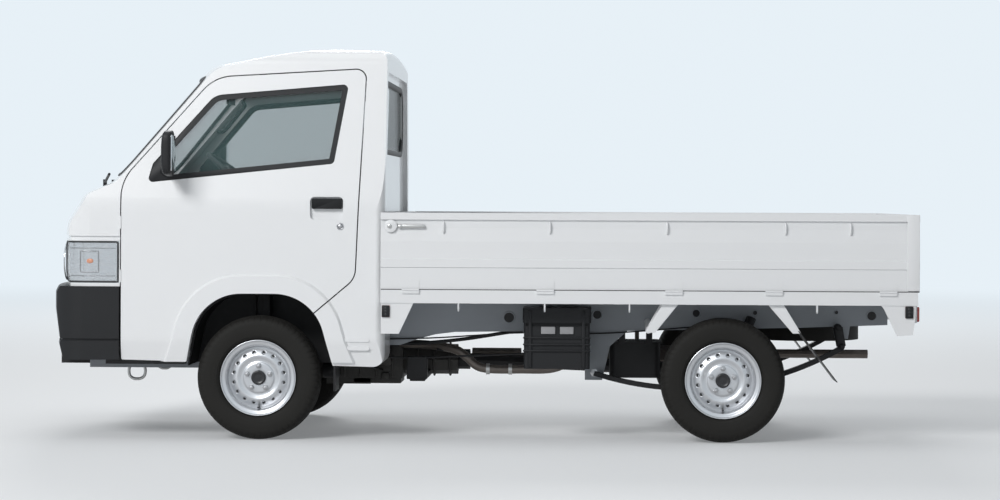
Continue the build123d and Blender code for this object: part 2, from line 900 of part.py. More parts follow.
liner_outer_y = inner_floor_half_width - panel_gap
liner_low_z = 350
liner_window_half_length = 60
liner_window_top_z = 495
flap_front_x = front_axle_x + arch_shares[-1][0] * arch_lift
flap_width = 190
flap_low_z = 230
flap_high_z = 360
flap_thickness = 5
with BuildPart() as liner:
    add(arch_prism(0, liner_inner_y, liner_outer_y))
    liner_open_y = liner_inner_y + liner_thickness
    add(arch_prism(-liner_thickness, liner_open_y, liner_outer_y + overrun), mode=Mode.SUBTRACT)
    add(block((0, liner_inner_y - overrun, -arch_lift), (nose_x, outer_y, liner_low_z)), mode=Mode.SUBTRACT)
    add(
        block(
            (front_axle_x - liner_window_half_length, liner_inner_y - overrun, 0),
            (front_axle_x + liner_window_half_length, liner_inner_y + 2 * liner_thickness, liner_window_top_z),
        ),
        mode=Mode.SUBTRACT,
    )
    add(
        block(
            (flap_front_x - flap_thickness, liner_outer_y - flap_width, flap_low_z),
            (flap_front_x + flap_thickness, liner_outer_y, flap_high_z),
        )
    )
arch_liners = both_sides(liner)
save(arch_liners, "arch_liners")

# The chassis frame

rail_outer_y = 450
rail_inner_y = 400
rail_top_z = 655
rail_front_low_share = 0.6672
rail_nose_low_share = 0.4885
rail_nose_top_share = 0.5954

# Side view of a rail: share of the wheelbase ahead of the origin, share of the rail's top height
rail_shares = (
    (-0.8980, 1.0000),
    (0.1497, 1.0000),
    (0.2132, 0.8550),
    (0.5986, 0.7939),
    (0.6236, rail_nose_top_share),
    (0.8617, rail_nose_top_share),
    (0.8617, rail_nose_low_share),
    (0.6122, rail_nose_low_share),
    (0.5850, rail_front_low_share),
    (0.1728, rail_front_low_share),
    (0.1370, 0.7099),
    (0.0948, 0.7481),
    (0.0522, 0.7664),
    (-0.0957, 0.7740),
    (-0.2349, 0.7740),
    (-0.2349, 0.4168),
    (-0.2730, 0.4168),
    (-0.2898, 0.6672),
    (-0.3279, 0.7817),
    (-0.4653, 0.7939),
    (-0.7016, 0.8122),
    (-0.7800, 0.8229),
    (-0.7846, 0.7328),
    (-0.8118, 0.7328),
    (-0.8163, 0.8260),
    (-0.8980, 0.8366),
)
with BuildPart() as side_rail:
    with BuildSketch(side_plane(rail_outer_y)):
        with BuildLine():
            Polyline(*[(along * wheelbase, up * rail_top_z) for along, up in rail_shares], close=True)
        make_face()
    extrude(amount=rail_outer_y - rail_inner_y)
side_rails = both_sides(side_rail)
save(side_rails, "side_rails")

# Cross members: middle and length as shares of the wheelbase, lowest and highest as shares of the
# rail's top height
cross_shares = (
    (0.8481, 0.0227, 0.504, 0.580),
    (0.1361, 0.0272, 0.855, 0.977),
    (-0.2041, 0.0272, 0.855, 0.977),
    (-0.4626, 0.0227, 0.870, 0.977),
    (-0.6531, 0.0227, 0.954, 0.992),
    (-0.7710, 0.0227, 0.954, 0.992),
    (-0.8821, 0.0227, 0.870, 0.977),
)
with BuildPart() as cross_members:
    for middle, length, low, high in cross_shares:
        back_x = (middle - length / 2) * wheelbase
        front_x = (middle + length / 2) * wheelbase
        add(block((back_x, -rail_inner_y, low * rail_top_z), (front_x, rail_inner_y, high * rail_top_z)))
save(cross_members, "cross_members")

subframe_top_z = 200
subframe_bottom_z = 165
subframe_back = 60
subframe_front = 200
with BuildPart() as subframe_leg:
    add(
        block(
            (front_axle_x - subframe_back, rail_inner_y, subframe_top_z),
            (front_axle_x + subframe_back, rail_outer_y, rail_front_low_share * rail_top_z),
        )
    )
with BuildPart() as front_subframe:
    add(
        block(
            (front_axle_x - subframe_back, -rail_outer_y, subframe_bottom_z),
            (front_axle_x + subframe_front, rail_outer_y, subframe_top_z),
        )
    )
    add(both_sides(subframe_leg).part)
save(front_subframe, "front_subframe")

# Cross strip and horns that carry the bumper, with a tow loop hung below each rail
horn_end_x = 2040
horn_back_x = 1950
strip_back_x = rail_shares[5][0] * wheelbase
strip_low_z = 340
strip_high_z = 375
horn_high_z = 420
tow_loop_front_x = 1715
tow_loop_length = 85
tow_loop_drop = 57
tow_bar_radius = 7
with BuildPart() as horn:
    add(block((strip_back_x, 0, strip_low_z), (horn_back_x, rail_outer_y, strip_high_z)))
    add(block((horn_back_x, rail_inner_y, strip_low_z), (horn_end_x, rail_outer_y, horn_high_z)))
    add(front_bumper.part, mode=Mode.SUBTRACT)
with BuildPart() as tow_loop:
    loop_y = (rail_inner_y + rail_outer_y) / 2
    loop_top_z = rail_nose_low_share * rail_top_z - fit_gap
    loop_low_z = loop_top_z - tow_loop_drop
    for x in (tow_loop_front_x, tow_loop_front_x - tow_loop_length):
        add(bar((x, loop_y, loop_low_z), (x, loop_y, loop_top_z), tow_bar_radius))
    loop_back_x = tow_loop_front_x - tow_loop_length - tow_bar_radius
    loop_end_x = tow_loop_front_x + tow_bar_radius
    add(bar((loop_back_x, loop_y, loop_low_z), (loop_end_x, loop_y, loop_low_z), tow_bar_radius))
with BuildPart() as front_crossmember:
    add(both_sides(horn).part)
    add(both_sides(tow_loop).part)
save(front_crossmember, "front_crossmember")

# Steered wheels' knuckles between their upper and lower arms

kingpin_y = 665
pin_half = 105
pin_radius = 15
knuckle_radius = 46
knuckle_inner = 18
knuckle_outer = 32
stub_radius = 18
stub_reach = 38
stub_end_y = wheel_y + stub_reach
steer_arm_back = 120
steer_arm_y = 606
steer_arm_half = 8
steer_arm_end = 15
steer_arm_low_z = 222
steer_arm_high_z = 240
tie_rod_z = 205
tie_rod_radius = 11
tie_stud_radius = 8
with BuildPart() as knuckle_left:
    knuckle_start = (front_axle_x, kingpin_y - knuckle_inner, axle_z)
    add(bar(knuckle_start, (front_axle_x, kingpin_y + knuckle_outer, axle_z), knuckle_radius))
    pin_start = (front_axle_x, kingpin_y, axle_z - pin_half)
    add(rod(pin_start, (front_axle_x, kingpin_y, axle_z + pin_half), pin_radius))
    add(rod((front_axle_x, kingpin_y, axle_z), (front_axle_x, stub_end_y, axle_z), stub_radius))
    add(
        block(
            (front_axle_x - steer_arm_back - steer_arm_end, steer_arm_y - steer_arm_half, steer_arm_low_z),
            (front_axle_x, steer_arm_y + steer_arm_half, steer_arm_high_z),
        )
    )
    add(
        block(
            (front_axle_x - steer_arm_end, steer_arm_y - steer_arm_half, steer_arm_low_z),
            (front_axle_x + steer_arm_end, kingpin_y, steer_arm_high_z),
        )
    )
save(knuckle_left, "knuckle_left")
save(other_side(knuckle_left), "knuckle_right")

tie_rod_x = front_axle_x - steer_arm_back
with BuildPart() as tie_rod:
    add(bar((tie_rod_x, -steer_arm_y, tie_rod_z), (tie_rod_x, steer_arm_y, tie_rod_z), tie_rod_radius))
    for side in (-1, 1):
        stud_top = (tie_rod_x, side * steer_arm_y, steer_arm_low_z - fit_gap)
        add(bar((tie_rod_x, side * steer_arm_y, tie_rod_z), stud_top, tie_stud_radius))
save(tie_rod, "tie_rod")

lower_arm_z = axle_z - pin_half - fit_gap
upper_arm_z = axle_z + pin_half + fit_gap
lower_arm_radius = 18
lower_arm_spread = (0, 170)
lower_joint_radius = 26
upper_joint_radius = 24
upper_joint_height = 30
upper_arm_radius = 15
upper_arm_rise = 40
damper_y = 555
damper_radius = 40
damper_rod_radius = 16
damper_low_z = 180
damper_middle_z = 400
liner_top_z = axle_z + arch_lift - liner_thickness
with BuildPart() as front_arm:
    bar_z = lower_arm_z - lower_arm_radius
    for reach in lower_arm_spread:
        arm_end = (front_axle_x + reach, rail_outer_y, bar_z)
        add(bar((front_axle_x, kingpin_y, bar_z), arm_end, lower_arm_radius))
    joint_low = (front_axle_x, kingpin_y, lower_arm_z - 2 * lower_arm_radius)
    add(bar((front_axle_x, kingpin_y, lower_arm_z), joint_low, lower_joint_radius))
    joint_high = (front_axle_x, kingpin_y, upper_arm_z + upper_joint_height)
    add(bar((front_axle_x, kingpin_y, upper_arm_z), joint_high, upper_joint_radius))
    bar_z = upper_arm_z + upper_arm_radius
    upper_end = (front_axle_x, rail_outer_y, bar_z + upper_arm_rise)
    add(bar((front_axle_x, kingpin_y, bar_z), upper_end, upper_arm_radius))
    damper_middle = (front_axle_x, damper_y, damper_middle_z)
    add(bar((front_axle_x, damper_y, damper_low_z), damper_middle, damper_rod_radius))
    add(bar(damper_middle, (front_axle_x, damper_y, liner_top_z - fit_gap), damper_radius))
    add(front_subframe.part, mode=Mode.SUBTRACT)
    add(side_rails.part, mode=Mode.SUBTRACT)
front_suspension = both_sides(front_arm)
save(front_suspension, "front_suspension")

# Engine and gearbox under the seats, then the driveline to the rear axle

engine_back_x = 935
engine_front_x = 1370
engine_half_width = 250
engine_top_z = 690
gearbox_back_x = 390
gearbox_half_width = 150
gearbox_bottom_z = 255
gearbox_top_z = 480
gear_tail_x = 120
gear_tail_z = 345
gear_tail_radius = 75
pan_half_length = 110
pan_half_width = 120
pan_bottom_z = 225
shaft_radius = 32
shaft_flange_radius = 50
shaft_flange_length = 60
shaft_drop = 10
with BuildPart() as engine_and_gearbox:
    engine_low = (engine_back_x, -engine_half_width, subframe_top_z + fit_gap)
    add(block(engine_low, (engine_front_x, engine_half_width, engine_top_z)))
    gearbox_low = (gearbox_back_x, -gearbox_half_width, gearbox_bottom_z)
    add(block(gearbox_low, (engine_back_x, gearbox_half_width, gearbox_top_z)))
    pan_x = (gearbox_back_x + engine_back_x) / 2
    pan_low = (pan_x - pan_half_length, -pan_half_width, pan_bottom_z)
    add(block(pan_low, (pan_x + pan_half_length, pan_half_width, gearbox_bottom_z)))
    add(bar((gearbox_back_x, 0, gear_tail_z), (gear_tail_x, 0, gear_tail_z), gear_tail_radius))
save(engine_and_gearbox, "engine_and_gearbox")

diff_radius = 120
diff_half_width = 100
pinion_reach = 180
shaft_front = (gear_tail_x, 0, gear_tail_z)
shaft_back = (rear_axle_x + pinion_reach, 0, axle_z + shaft_drop)
with BuildPart() as propeller_shaft:
    add(bar(shaft_front, shaft_back, shaft_radius))
    flange_start = (gear_tail_x - fit_gap, 0, gear_tail_z)
    flange_end = (gear_tail_x - shaft_flange_length, 0, gear_tail_z)
    add(bar(flange_start, flange_end, shaft_flange_radius))
    add(engine_and_gearbox.part, mode=Mode.SUBTRACT)
save(propeller_shaft, "propeller_shaft")

axle_tube_radius = 36
rear_hub_y = 600
drum_radius = 120
drum_width = 35
drum_sides = 16
with BuildPart() as rear_axle:
    with BuildSketch(side_plane(rear_hub_y)):
        with Locations((rear_axle_x, axle_z)):
            RegularPolygon(axle_tube_radius, bar_sides, rotation=180 / bar_sides)
    extrude(amount=2 * rear_hub_y)
    with BuildSketch(side_plane(diff_half_width)):
        with Locations((rear_axle_x, axle_z)):
            RegularPolygon(diff_radius, bar_sides, rotation=180 / bar_sides)
    extrude(amount=2 * diff_half_width)
    add(bar((rear_axle_x, 0, axle_z), shaft_back, shaft_flange_radius))
    add(propeller_shaft.part, mode=Mode.SUBTRACT)
    for side in (-1, 1):
        with BuildSketch(side_plane(side * rear_hub_y + max(side, 0) * drum_width)):
            with Locations((rear_axle_x, axle_z)):
                RegularPolygon(drum_radius, drum_sides)
        extrude(amount=drum_width)
        stub_start = (rear_axle_x, side * rear_hub_y, axle_z)
        add(rod(stub_start, (rear_axle_x, side * stub_end_y, axle_z), stub_radius))
save(rear_axle, "rear_axle")

spring_width = 60
spring_thickness = 22
spring_y = rail_outer_y + fit_gap + spring_width / 2
spring_middle_z = 246
spring_pad_half = 60
spring_pad_top_z = axle_z - axle_tube_radius * cos(pi / bar_sides) - fit_gap

# Ends of a leaf spring: share of the wheelbase, share of the rail's top height
spring_front_shares = (-0.2553, 0.4702)
spring_back_shares = (-0.7982, 0.6718)
with BuildPart() as leaf_spring:
    with BuildSketch(side_plane(spring_y + spring_width / 2)):
        with BuildLine():
            ThreePointArc(
                (spring_front_shares[0] * wheelbase, spring_front_shares[1] * rail_top_z),
                (rear_axle_x, spring_middle_z),
                (spring_back_shares[0] * wheelbase, spring_back_shares[1] * rail_top_z),
            )
        trace(line_width=spring_thickness)
    extrude(amount=spring_width)
    add(
        block(
            (rear_axle_x - spring_pad_half, spring_y - spring_width / 2, spring_middle_z),
            (rear_axle_x + spring_pad_half, spring_y + spring_width / 2, spring_pad_top_z),
        )
    )
leaf_springs = both_sides(leaf_spring)
save(leaf_springs, "leaf_springs")

rear_damper_radius = 24
rear_damper_low_y = 555
rear_damper_low_back = 30
rear_damper_top_y = 470
rear_damper_top_back = 150
rear_damper_top_z = 580
with BuildPart() as rear_damper:
    damper_low = (rear_axle_x - rear_damper_low_back, rear_damper_low_y, axle_z)
    damper_top = (rear_axle_x - rear_damper_top_back, rear_damper_top_y, rear_damper_top_z)
    add(bar(damper_low, damper_top, rear_damper_radius))
    add(rear_axle.part, mode=Mode.SUBTRACT)
    add(side_rails.part, mode=Mode.SUBTRACT)
rear_dampers = both_sides(rear_damper)
save(rear_dampers, "rear_dampers")

exhaust_y = -225
pipe_radius = 22
pipe_bend = 60
catalyst_front_x = 60
catalyst_back_x = -190
catalyst_radius = 52
muffler_front_x = -600
muffler_back_x = -960
muffler_radius = 70
exhaust_hanger_x = -770
exhaust_hanger_length = 20
exhaust_hanger_top_z = 560

# The exhaust pipe's line: share of the engine's back X, share of the rail's top height
exhaust_shares = (
    (1.0000, 0.4580),
    (0.0642, 0.5160),
    (-1.0481, 0.5160),
    (-1.1658, 0.6336),
    (-1.3476, 0.6336),
    (-1.4439, 0.5649),
    (-2.0856, 0.5649),
)
exhaust_points = [(along * engine_back_x, exhaust_y, up * rail_top_z) for along, up in exhaust_shares]
exhaust_z = exhaust_points[1][2]
with BuildPart() as exhaust:
    with BuildLine():
        FilletPolyline(*exhaust_points, radius=pipe_bend)
    exhaust_start = Vector(*exhaust_points[0])
    with BuildSketch(Plane(origin=exhaust_start, z_dir=Vector(*exhaust_points[1]) - exhaust_start)):
        RegularPolygon(pipe_radius, bar_sides)
    sweep()
    add(bar((catalyst_front_x, exhaust_y, exhaust_z), (catalyst_back_x, exhaust_y, exhaust_z), catalyst_radius))
    add(bar((muffler_front_x, exhaust_y, exhaust_z), (muffler_back_x, exhaust_y, exhaust_z), muffler_radius))
    add(
        block(
            (exhaust_hanger_x - exhaust_hanger_length, -rail_inner_y + fit_gap, exhaust_z),
            (exhaust_hanger_x, exhaust_y, exhaust_hanger_top_z),
        )
    )
    add(engine_and_gearbox.part, mode=Mode.SUBTRACT)
save(exhaust, "exhaust")

tank_size = (248, 320, 174)
tank_x = -761
tank_y = 220
tank_low_z = 280
tank_corner = 30
strap_shares = (-0.28, 0.25)
strap_width = 30
strap_inner_y = 340
strap_low_z = 440
strap_top_z = 600
with BuildPart() as fuel_tank:
    with BuildSketch(floor_plane(tank_low_z)):
        with Locations((tank_x, tank_y)):
            RectangleRounded(tank_size[0], tank_size[1], tank_corner)
    extrude(amount=tank_size[2])
    for share in strap_shares:
        strap_x = tank_x + share * tank_size[0]
        strap_low = (strap_x - strap_width / 2, strap_inner_y, strap_low_z)
        add(block(strap_low, (strap_x + strap_width / 2, rail_inner_y - fit_gap, strap_top_z)))
save(fuel_tank, "fuel_tank")

battery_size = (326, 240, 289)
battery_x = -385
battery_y = 610
battery_low_z = 342
battery_corner = 18
battery_lid_height = 70
battery_lid_lip = 6
battery_slot_share = 0.90
battery_slot_height = 14
battery_slot_depth = 12
battery_slot_z = 545
battery_arm_half = 115
battery_arm_end_y = 500
battery_arm_low_z = 530
battery_arm_top_z = 610
with BuildPart() as battery_box:
    with BuildSketch(floor_plane(battery_low_z)):
        with Locations((battery_x, battery_y)):
            tub_size = (battery_size[0] - 2 * battery_lid_lip, battery_size[1] - 2 * battery_lid_lip)
            RectangleRounded(*tub_size, battery_corner)
    extrude(amount=battery_size[2])
    with BuildSketch(floor_plane(battery_low_z + battery_size[2] - battery_lid_height)):
        with Locations((battery_x, battery_y)):
            RectangleRounded(battery_size[0], battery_size[1], battery_corner)
    extrude(amount=battery_lid_height)
    battery_front_y = battery_y + battery_size[1] / 2 - battery_lid_lip
    slot_half = battery_slot_share * battery_size[0] / 2
    slot_low = (battery_x - slot_half, battery_front_y - battery_slot_depth, battery_slot_z)
    slot_high = (battery_x + slot_half, battery_front_y, battery_slot_z + battery_slot_height)
    add(block(slot_low, slot_high), mode=Mode.SUBTRACT)
    arm_low = (battery_x - battery_arm_half, rail_outer_y + fit_gap, battery_arm_low_z)
    add(block(arm_low, (battery_x + battery_arm_half, battery_arm_end_y, battery_arm_top_z)))
save(battery_box, "battery_box")

spare_x = -1600
spare_clear = 30
spare_radius_share = 0.95
spare_z = rail_top_z - spare_clear - tyre_width - fit_gap
with BuildPart() as spare_wheel:
    with BuildSketch(floor_plane(spare_z)):
        with Locations((spare_x, 0)):
            Circle(spare_radius_share * tyre_diameter / 2)
    extrude(amount=tyre_width)
save(spare_wheel, "spare_wheel")

# Wheels: a steel rim and a tyre turned round the axle at each corner

hub_gap = 0.3
bead_share = 0.580

# Half a tyre's section: share of its width out from the middle, share of its outer radius
tyre_shares = (
    (0.400, bead_share),
    (0.470, 0.700),
    (0.500, 0.850),
    (0.470, 0.940),
    (0.380, 1.000),
)

# The rim's section from its inner edge: share of the tyre's width, share of the tyre's outer radius
rim_edge_shares = (
    (-0.400, bead_share - 0.0013),
    (-0.400, 0.502),
    (0.121, 0.502),
    (0.155, 0.258),
)
rim_face_shares = (
    (0.206, 0.258),
    (0.230, 0.413),
    (0.206, 0.515),
    (0.400, 0.532),
    (0.400, bead_share - 0.0013),
)


def turned(points, x, side):
    """A ring of the section's points turned round the axle at one corner of the truck."""
    with BuildPart() as ring:
        with BuildSketch(Plane(origin=(x, side * wheel_y, axle_z), x_dir=(0, 1, 0), z_dir=(1, 0, 0))):
            with BuildLine():
                Polyline(*points, close=True)
            make_face()
        revolve(axis=Axis((x, side * wheel_y, axle_z), (0, 1, 0)))
    return ring


def tyre_at(x, side):
    """A tyre at one corner."""
    half = [(a * tyre_width, r * tyre_diameter / 2) for a, r in tyre_shares]
    other = [(-y, z) for y, z in reversed(half)]
    return turned(half + other, x, side)


def rim_at(x, side):
    """A pressed steel wheel at one corner, its outer face dished."""
    edge = [(side * a * tyre_width, r * tyre_diameter / 2) for a, r in rim_edge_shares]
    face = [(side * a * tyre_width, r * tyre_diameter / 2) for a, r in rim_face_shares]
    bore = stub_radius + hub_gap
    return turned([*edge, (edge[-1][0], bore), (face[0][0], bore), *face], x, side)


wheel_places = (
    ("front_left", front_axle_x, 1),
    ("front_right", front_axle_x, -1),
    ("rear_left", rear_axle_x, 1),
    ("rear_right", rear_axle_x, -1),
)
for place, x, side in wheel_places:
    save(tyre_at(x, side), f"tyre_{place}")
    save(rim_at(x, side), f"rim_{place}")

# The bed: side gates and a tailgate that drop on hinges along the deck's edges

bed_half_width = 870
gate_thickness = 28
gate_height = 361
bed_front_x = 446
bed_back_x = -2080
gate_overlap = 7
deck_top_z = 722
deck_sheet = 14
sill_width = 35
sill_bottom_z = 657
deck_half_width = bed_half_width - sill_width
deck_back_x = bed_back_x + sill_width
gate_back_x = bed_back_x - gate_overlap
gate_bottom_z = deck_top_z + fit_gap
hinge_radius = 4.5
hinge_length = 82
hinge_y = bed_half_width + 8
hinge_tail_x = bed_back_x - 8
hinge_z = 719.5
hinge_plate_low_z = 703
leaf_thickness = 2.5
leaf_low_z = 724
leaf_high_z = 762
side_hinge_shares = (0.349, -0.382, -1.077, -1.616, -2.230)
tail_hinge_shares = (-0.70, 0.00, 0.70)

# Section of a gate: share of its thickness from the inside, share of its height
gate_shares = (
    (0.00, 0.000),
    (0.80, 0.000),
    (0.80, 0.282),
    (1.00, 0.290),
    (1.00, 0.390),
    (0.80, 0.399),
    (0.80, 0.626),
    (0.60, 0.800),
    (0.60, 0.905),
    (1.00, 0.911),
    (1.00, 1.000),
    (0.00, 1.000),
)
with BuildPart() as side_gate_left:
    with BuildSketch(front_plane(gate_back_x)):
        with BuildLine():
            inner_y = bed_half_width - gate_thickness
            points = [(inner_y + a * gate_thickness, gate_bottom_z + b * gate_height) for a, b in gate_shares]
            Polyline(*points, close=True)
        make_face()
    extrude(amount=bed_front_x - gate_back_x)
    leaf_y = bed_half_width - (1 - gate_shares[1][0]) * gate_thickness
    for share in side_hinge_shares:
        leaf_x = share * bed_half_width
        leaf_low = (leaf_x - hinge_length / 2, leaf_y, leaf_low_z)
        add(block(leaf_low, (leaf_x + hinge_length / 2, leaf_y + leaf_thickness, leaf_high_z)))
save(side_gate_left, "side_gate_left")
save(other_side(side_gate_left), "side_gate_right")

tail_half_width = bed_half_width - gate_thickness - panel_gap
with BuildPart() as tailgate:
    with BuildSketch(side_plane(tail_half_width)):
        with BuildLine():
            points = []
            for across, up in gate_shares:
                points.append((bed_back_x + gate_thickness * (1 - across), gate_bottom_z + up * gate_height))
            Polyline(*points, close=True)
        make_face()
    extrude(amount=2 * tail_half_width)
save(tailgate, "tailgate")

front_wall_x = 405
front_wall_thickness = 22
front_wall_back_x = front_wall_x - front_wall_thickness
with BuildPart() as deck_front_wall:
    add(
        block(
            (front_wall_back_x, -deck_half_width, deck_top_z - deck_sheet),
            (front_wall_x, deck_half_width, deck_top_z + gate_height),
        )
    )
save(deck_front_wall, "deck_front_wall")

bearer_half = 25
bearer_shares = (0.1497, 0.0000, -0.1542, -0.3084, -0.4626, -0.6168, -0.7710, -0.9100)
groove_width = 60
groove_depth = 4
groove_margin = 60
groove_shares = (-0.84, -0.63, -0.42, -0.21, 0.00, 0.21, 0.42, 0.63, 0.84)
with BuildPart() as deck_floor:
    deck_low = (deck_back_x, -deck_half_width, deck_top_z - deck_sheet)
    add(block(deck_low, (front_wall_back_x, deck_half_width, deck_top_z)))
    for share in bearer_shares:
        bearer_x = share * wheelbase
        bearer_low = (bearer_x - bearer_half, -deck_half_width, rail_top_z)
        add(block(bearer_low, (bearer_x + bearer_half, deck_half_width, deck_top_z - deck_sheet)))
    for share in groove_shares:
        groove_y = share * deck_half_width
        groove_low = (deck_back_x + groove_margin, groove_y - groove_width / 2, deck_top_z - groove_depth)
        groove_high = (front_wall_back_x - groove_margin, groove_y + groove_width / 2, deck_top_z + overrun)
        add(block(groove_low, groove_high), mode=Mode.SUBTRACT)
save(deck_floor, "deck_floor")

with BuildPart() as deck_sill:
    add(block((bed_back_x, deck_half_width, sill_bottom_z), (bed_front_x, bed_half_width, deck_top_z)))
    add(block((bed_back_x, 0, rail_top_z), (deck_back_x, deck_half_width, deck_top_z)))
    for share in side_hinge_shares:
        hinge_x = share * bed_half_width
        back_x = hinge_x - hinge_length / 2
        front_x = hinge_x + hinge_length / 2
        barrel = rod if share == side_hinge_shares[0] else bar
        add(barrel((back_x, hinge_y, hinge_z), (front_x, hinge_y, hinge_z), hinge_radius))
        add(block((back_x, bed_half_width, hinge_plate_low_z), (front_x, hinge_y, hinge_z - hinge_radius / 2)))
    for share in tail_hinge_shares[1:]:
        low_y = max(0, share * tail_half_width - hinge_length / 2)
        high_y = share * tail_half_width + hinge_length / 2
        barrel = rod if share == tail_hinge_shares[1] else bar
        add(barrel((hinge_tail_x, low_y, hinge_z), (hinge_tail_x, high_y, hinge_z), hinge_radius))
        add(block((hinge_tail_x, low_y, hinge_plate_low_z), (bed_back_x, high_y, hinge_z - hinge_radius / 2)))
deck_sills = both_sides(deck_sill)
save(deck_sills, "deck_sills")

# Skirts below the bed's corners, braces over the rear wheels, mud flaps and lamp plates.
# Skirt outlines: share of the bed's half width along the truck, share of the sill's bottom height
skirt_sheet = 4
front_skirt_shares = ((0.5092, 1.0000), (0.3333, 1.0000), (0.4115, 0.7793), (0.5092, 0.7793))
rear_skirt_shares = (
    (-2.1931, 1.0000),
    (-2.2080, 0.9741),
    (-2.2782, 0.7823),
    (-2.3632, 0.7915),
    (-2.3747, 0.8950),
    (-2.3782, 1.0000),
)
skirt_y = bed_half_width - skirt_sheet
brace_radius = 14
brace_top_y = 840
brace_low_y = 760
brace_low_z = 528
brace_top_z = 700
brace_inner_z = 560

# Braces: top and bottom as shares of the bed's half width along the truck
brace_shares = ((-1.0483, -0.9425), (-1.6253, -1.7379))
flap_outer_y = 860
rear_flap_width = 240
rear_flap_shares = ((-1.7471, 0.8143), (-1.9563, 0.4490), (-1.9609, 0.4521), (-1.7540, 0.8143))
plate_inner_y = 380
plate_outer_y = 820
plate_low_z = 575
plate_arm_y = 440
plate_arm_end_x = rail_shares[0][0] * wheelbase - fit_gap
plate_arm_low_z = 575
plate_arm_high_z = 595
with BuildPart() as skirt:
    for shares in (front_skirt_shares, rear_skirt_shares):
        with BuildSketch(side_plane(skirt_y)):
            with BuildLine():
                Polyline(*[(a * bed_half_width, b * sill_bottom_z) for a, b in shares], close=True)
            make_face()
        extrude(amount=skirt_sheet)
    for top, low in brace_shares:
        brace_low = (low * bed_half_width, brace_low_y, brace_low_z)
        add(bar((top * bed_half_width, brace_top_y, brace_top_z), brace_low, brace_radius))
        add(bar(brace_low, (low * bed_half_width, rail_outer_y, brace_inner_z), brace_radius))
    with BuildSketch(side_plane(flap_outer_y)):
        with BuildLine():
            Polyline(*[(a * bed_half_width, b * sill_bottom_z) for a, b in rear_flap_shares], close=True)
        make_face()
    extrude(amount=rear_flap_width)
    plate_low = (bed_back_x, plate_inner_y, plate_low_z)
    add(block(plate_low, (bed_back_x + sill_width, plate_outer_y, rail_top_z - fit_gap)))
    plate_arm_low = (bed_back_x, plate_inner_y, plate_arm_low_z)
    add(block(plate_arm_low, (plate_arm_end_x, plate_arm_y, plate_arm_high_z)))
    add(block((tail_x, 0, sill_bottom_z), (nose_x, outer_y, overall_height)), mode=Mode.SUBTRACT)
    add(block((tail_x, 0, 0), (nose_x, rail_outer_y, plate_low_z - 2 * panel_gap)), mode=Mode.SUBTRACT)
deck_skirts = both_sides(skirt)
save(deck_skirts, "deck_skirts")

tail_lamp_depth = 10
tail_lamp_inner_y = 600
tail_lamp_outer_y = 815
tail_lamp_low_z = 580
tail_lamp_high_z = 650
marker_depth = 8
front_marker_x = 402
front_marker_low_z = 591
rear_marker_x = -2056
rear_marker_low_z = 599
marker_width = 36
marker_height = 54
stop_inner_y = 390
stop_low_z = 600
stop_height = 32
with BuildPart() as lamp:
    lamp_low = (bed_back_x - tail_lamp_depth, tail_lamp_inner_y, tail_lamp_low_z)
    add(block(lamp_low, (bed_back_x, tail_lamp_outer_y, tail_lamp_high_z)))
    for x, low_z in ((front_marker_x, front_marker_low_z), (rear_marker_x, rear_marker_low_z)):
        add(block((x, skirt_y, low_z), (x + marker_width, skirt_y + marker_depth, low_z + marker_height)))
    add(block((tail_x, stop_inner_y, stop_low_z), (bed_back_x, plate_arm_y, stop_low_z + stop_height)))
deck_lamps = both_sides(lamp)
save(deck_lamps, "deck_lamps")
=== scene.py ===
import math
import bmesh
import bpy
import numpy as np
from mathutils import Matrix, Vector


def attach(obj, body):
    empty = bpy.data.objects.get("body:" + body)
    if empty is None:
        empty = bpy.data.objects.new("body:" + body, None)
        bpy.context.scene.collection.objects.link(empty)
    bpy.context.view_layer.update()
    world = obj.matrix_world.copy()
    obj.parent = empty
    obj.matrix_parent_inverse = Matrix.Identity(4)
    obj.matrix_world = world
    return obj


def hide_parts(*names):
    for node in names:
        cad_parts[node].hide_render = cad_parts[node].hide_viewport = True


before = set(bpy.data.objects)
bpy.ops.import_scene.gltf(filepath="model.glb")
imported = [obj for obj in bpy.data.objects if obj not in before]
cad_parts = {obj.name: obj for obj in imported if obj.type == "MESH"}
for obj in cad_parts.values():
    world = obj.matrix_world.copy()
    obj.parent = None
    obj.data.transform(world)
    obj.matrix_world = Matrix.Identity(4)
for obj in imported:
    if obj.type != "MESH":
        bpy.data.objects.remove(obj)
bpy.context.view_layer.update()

# The studio: a pale floor that runs into a pale sky, a large key light ahead of the truck's left side,
# and weaker ones overhead and behind. The camera stands level with the door handle, thirteen metres away.

camera_place = (-0.588, 13.80, 1.145)
camera_yaw = math.radians(2.085)
camera_roll = math.radians(0.25)
lens_mm = 98.9
sensor_mm = 36
frame_shift_y = -0.05
floor_half = 400
floor_colour = (0.80, 0.81, 0.82, 1)
floor_glow = (0.90, 0.93, 0.95, 1)
floor_glow_share = 0.20
haze_start, haze_end = 4, 24
sky_colour = (0.80, 0.875, 0.93, 1)
sky_lamp_colour = (0.94, 0.97, 1.0, 1)
sky_light = 0.23
lamp_target = (0, 0, 0.8)
soft_lamps = (  # name, place, width, depth, power
    ("key", (8.5, 15.0, 11.0), 8.0, 5.0, 2350),
    ("overhead", (0.6, 0.3, 8.0), 6.0, 5.0, 85),
    ("back_soft", (1.0, -16.0, 9.0), 7.0, 5.0, 900),
)


def add_to_scene(name, data):
    """An object that holds the data, linked to the scene."""
    item = bpy.data.objects.new(name, data)
    bpy.context.scene.collection.objects.link(item)
    return item


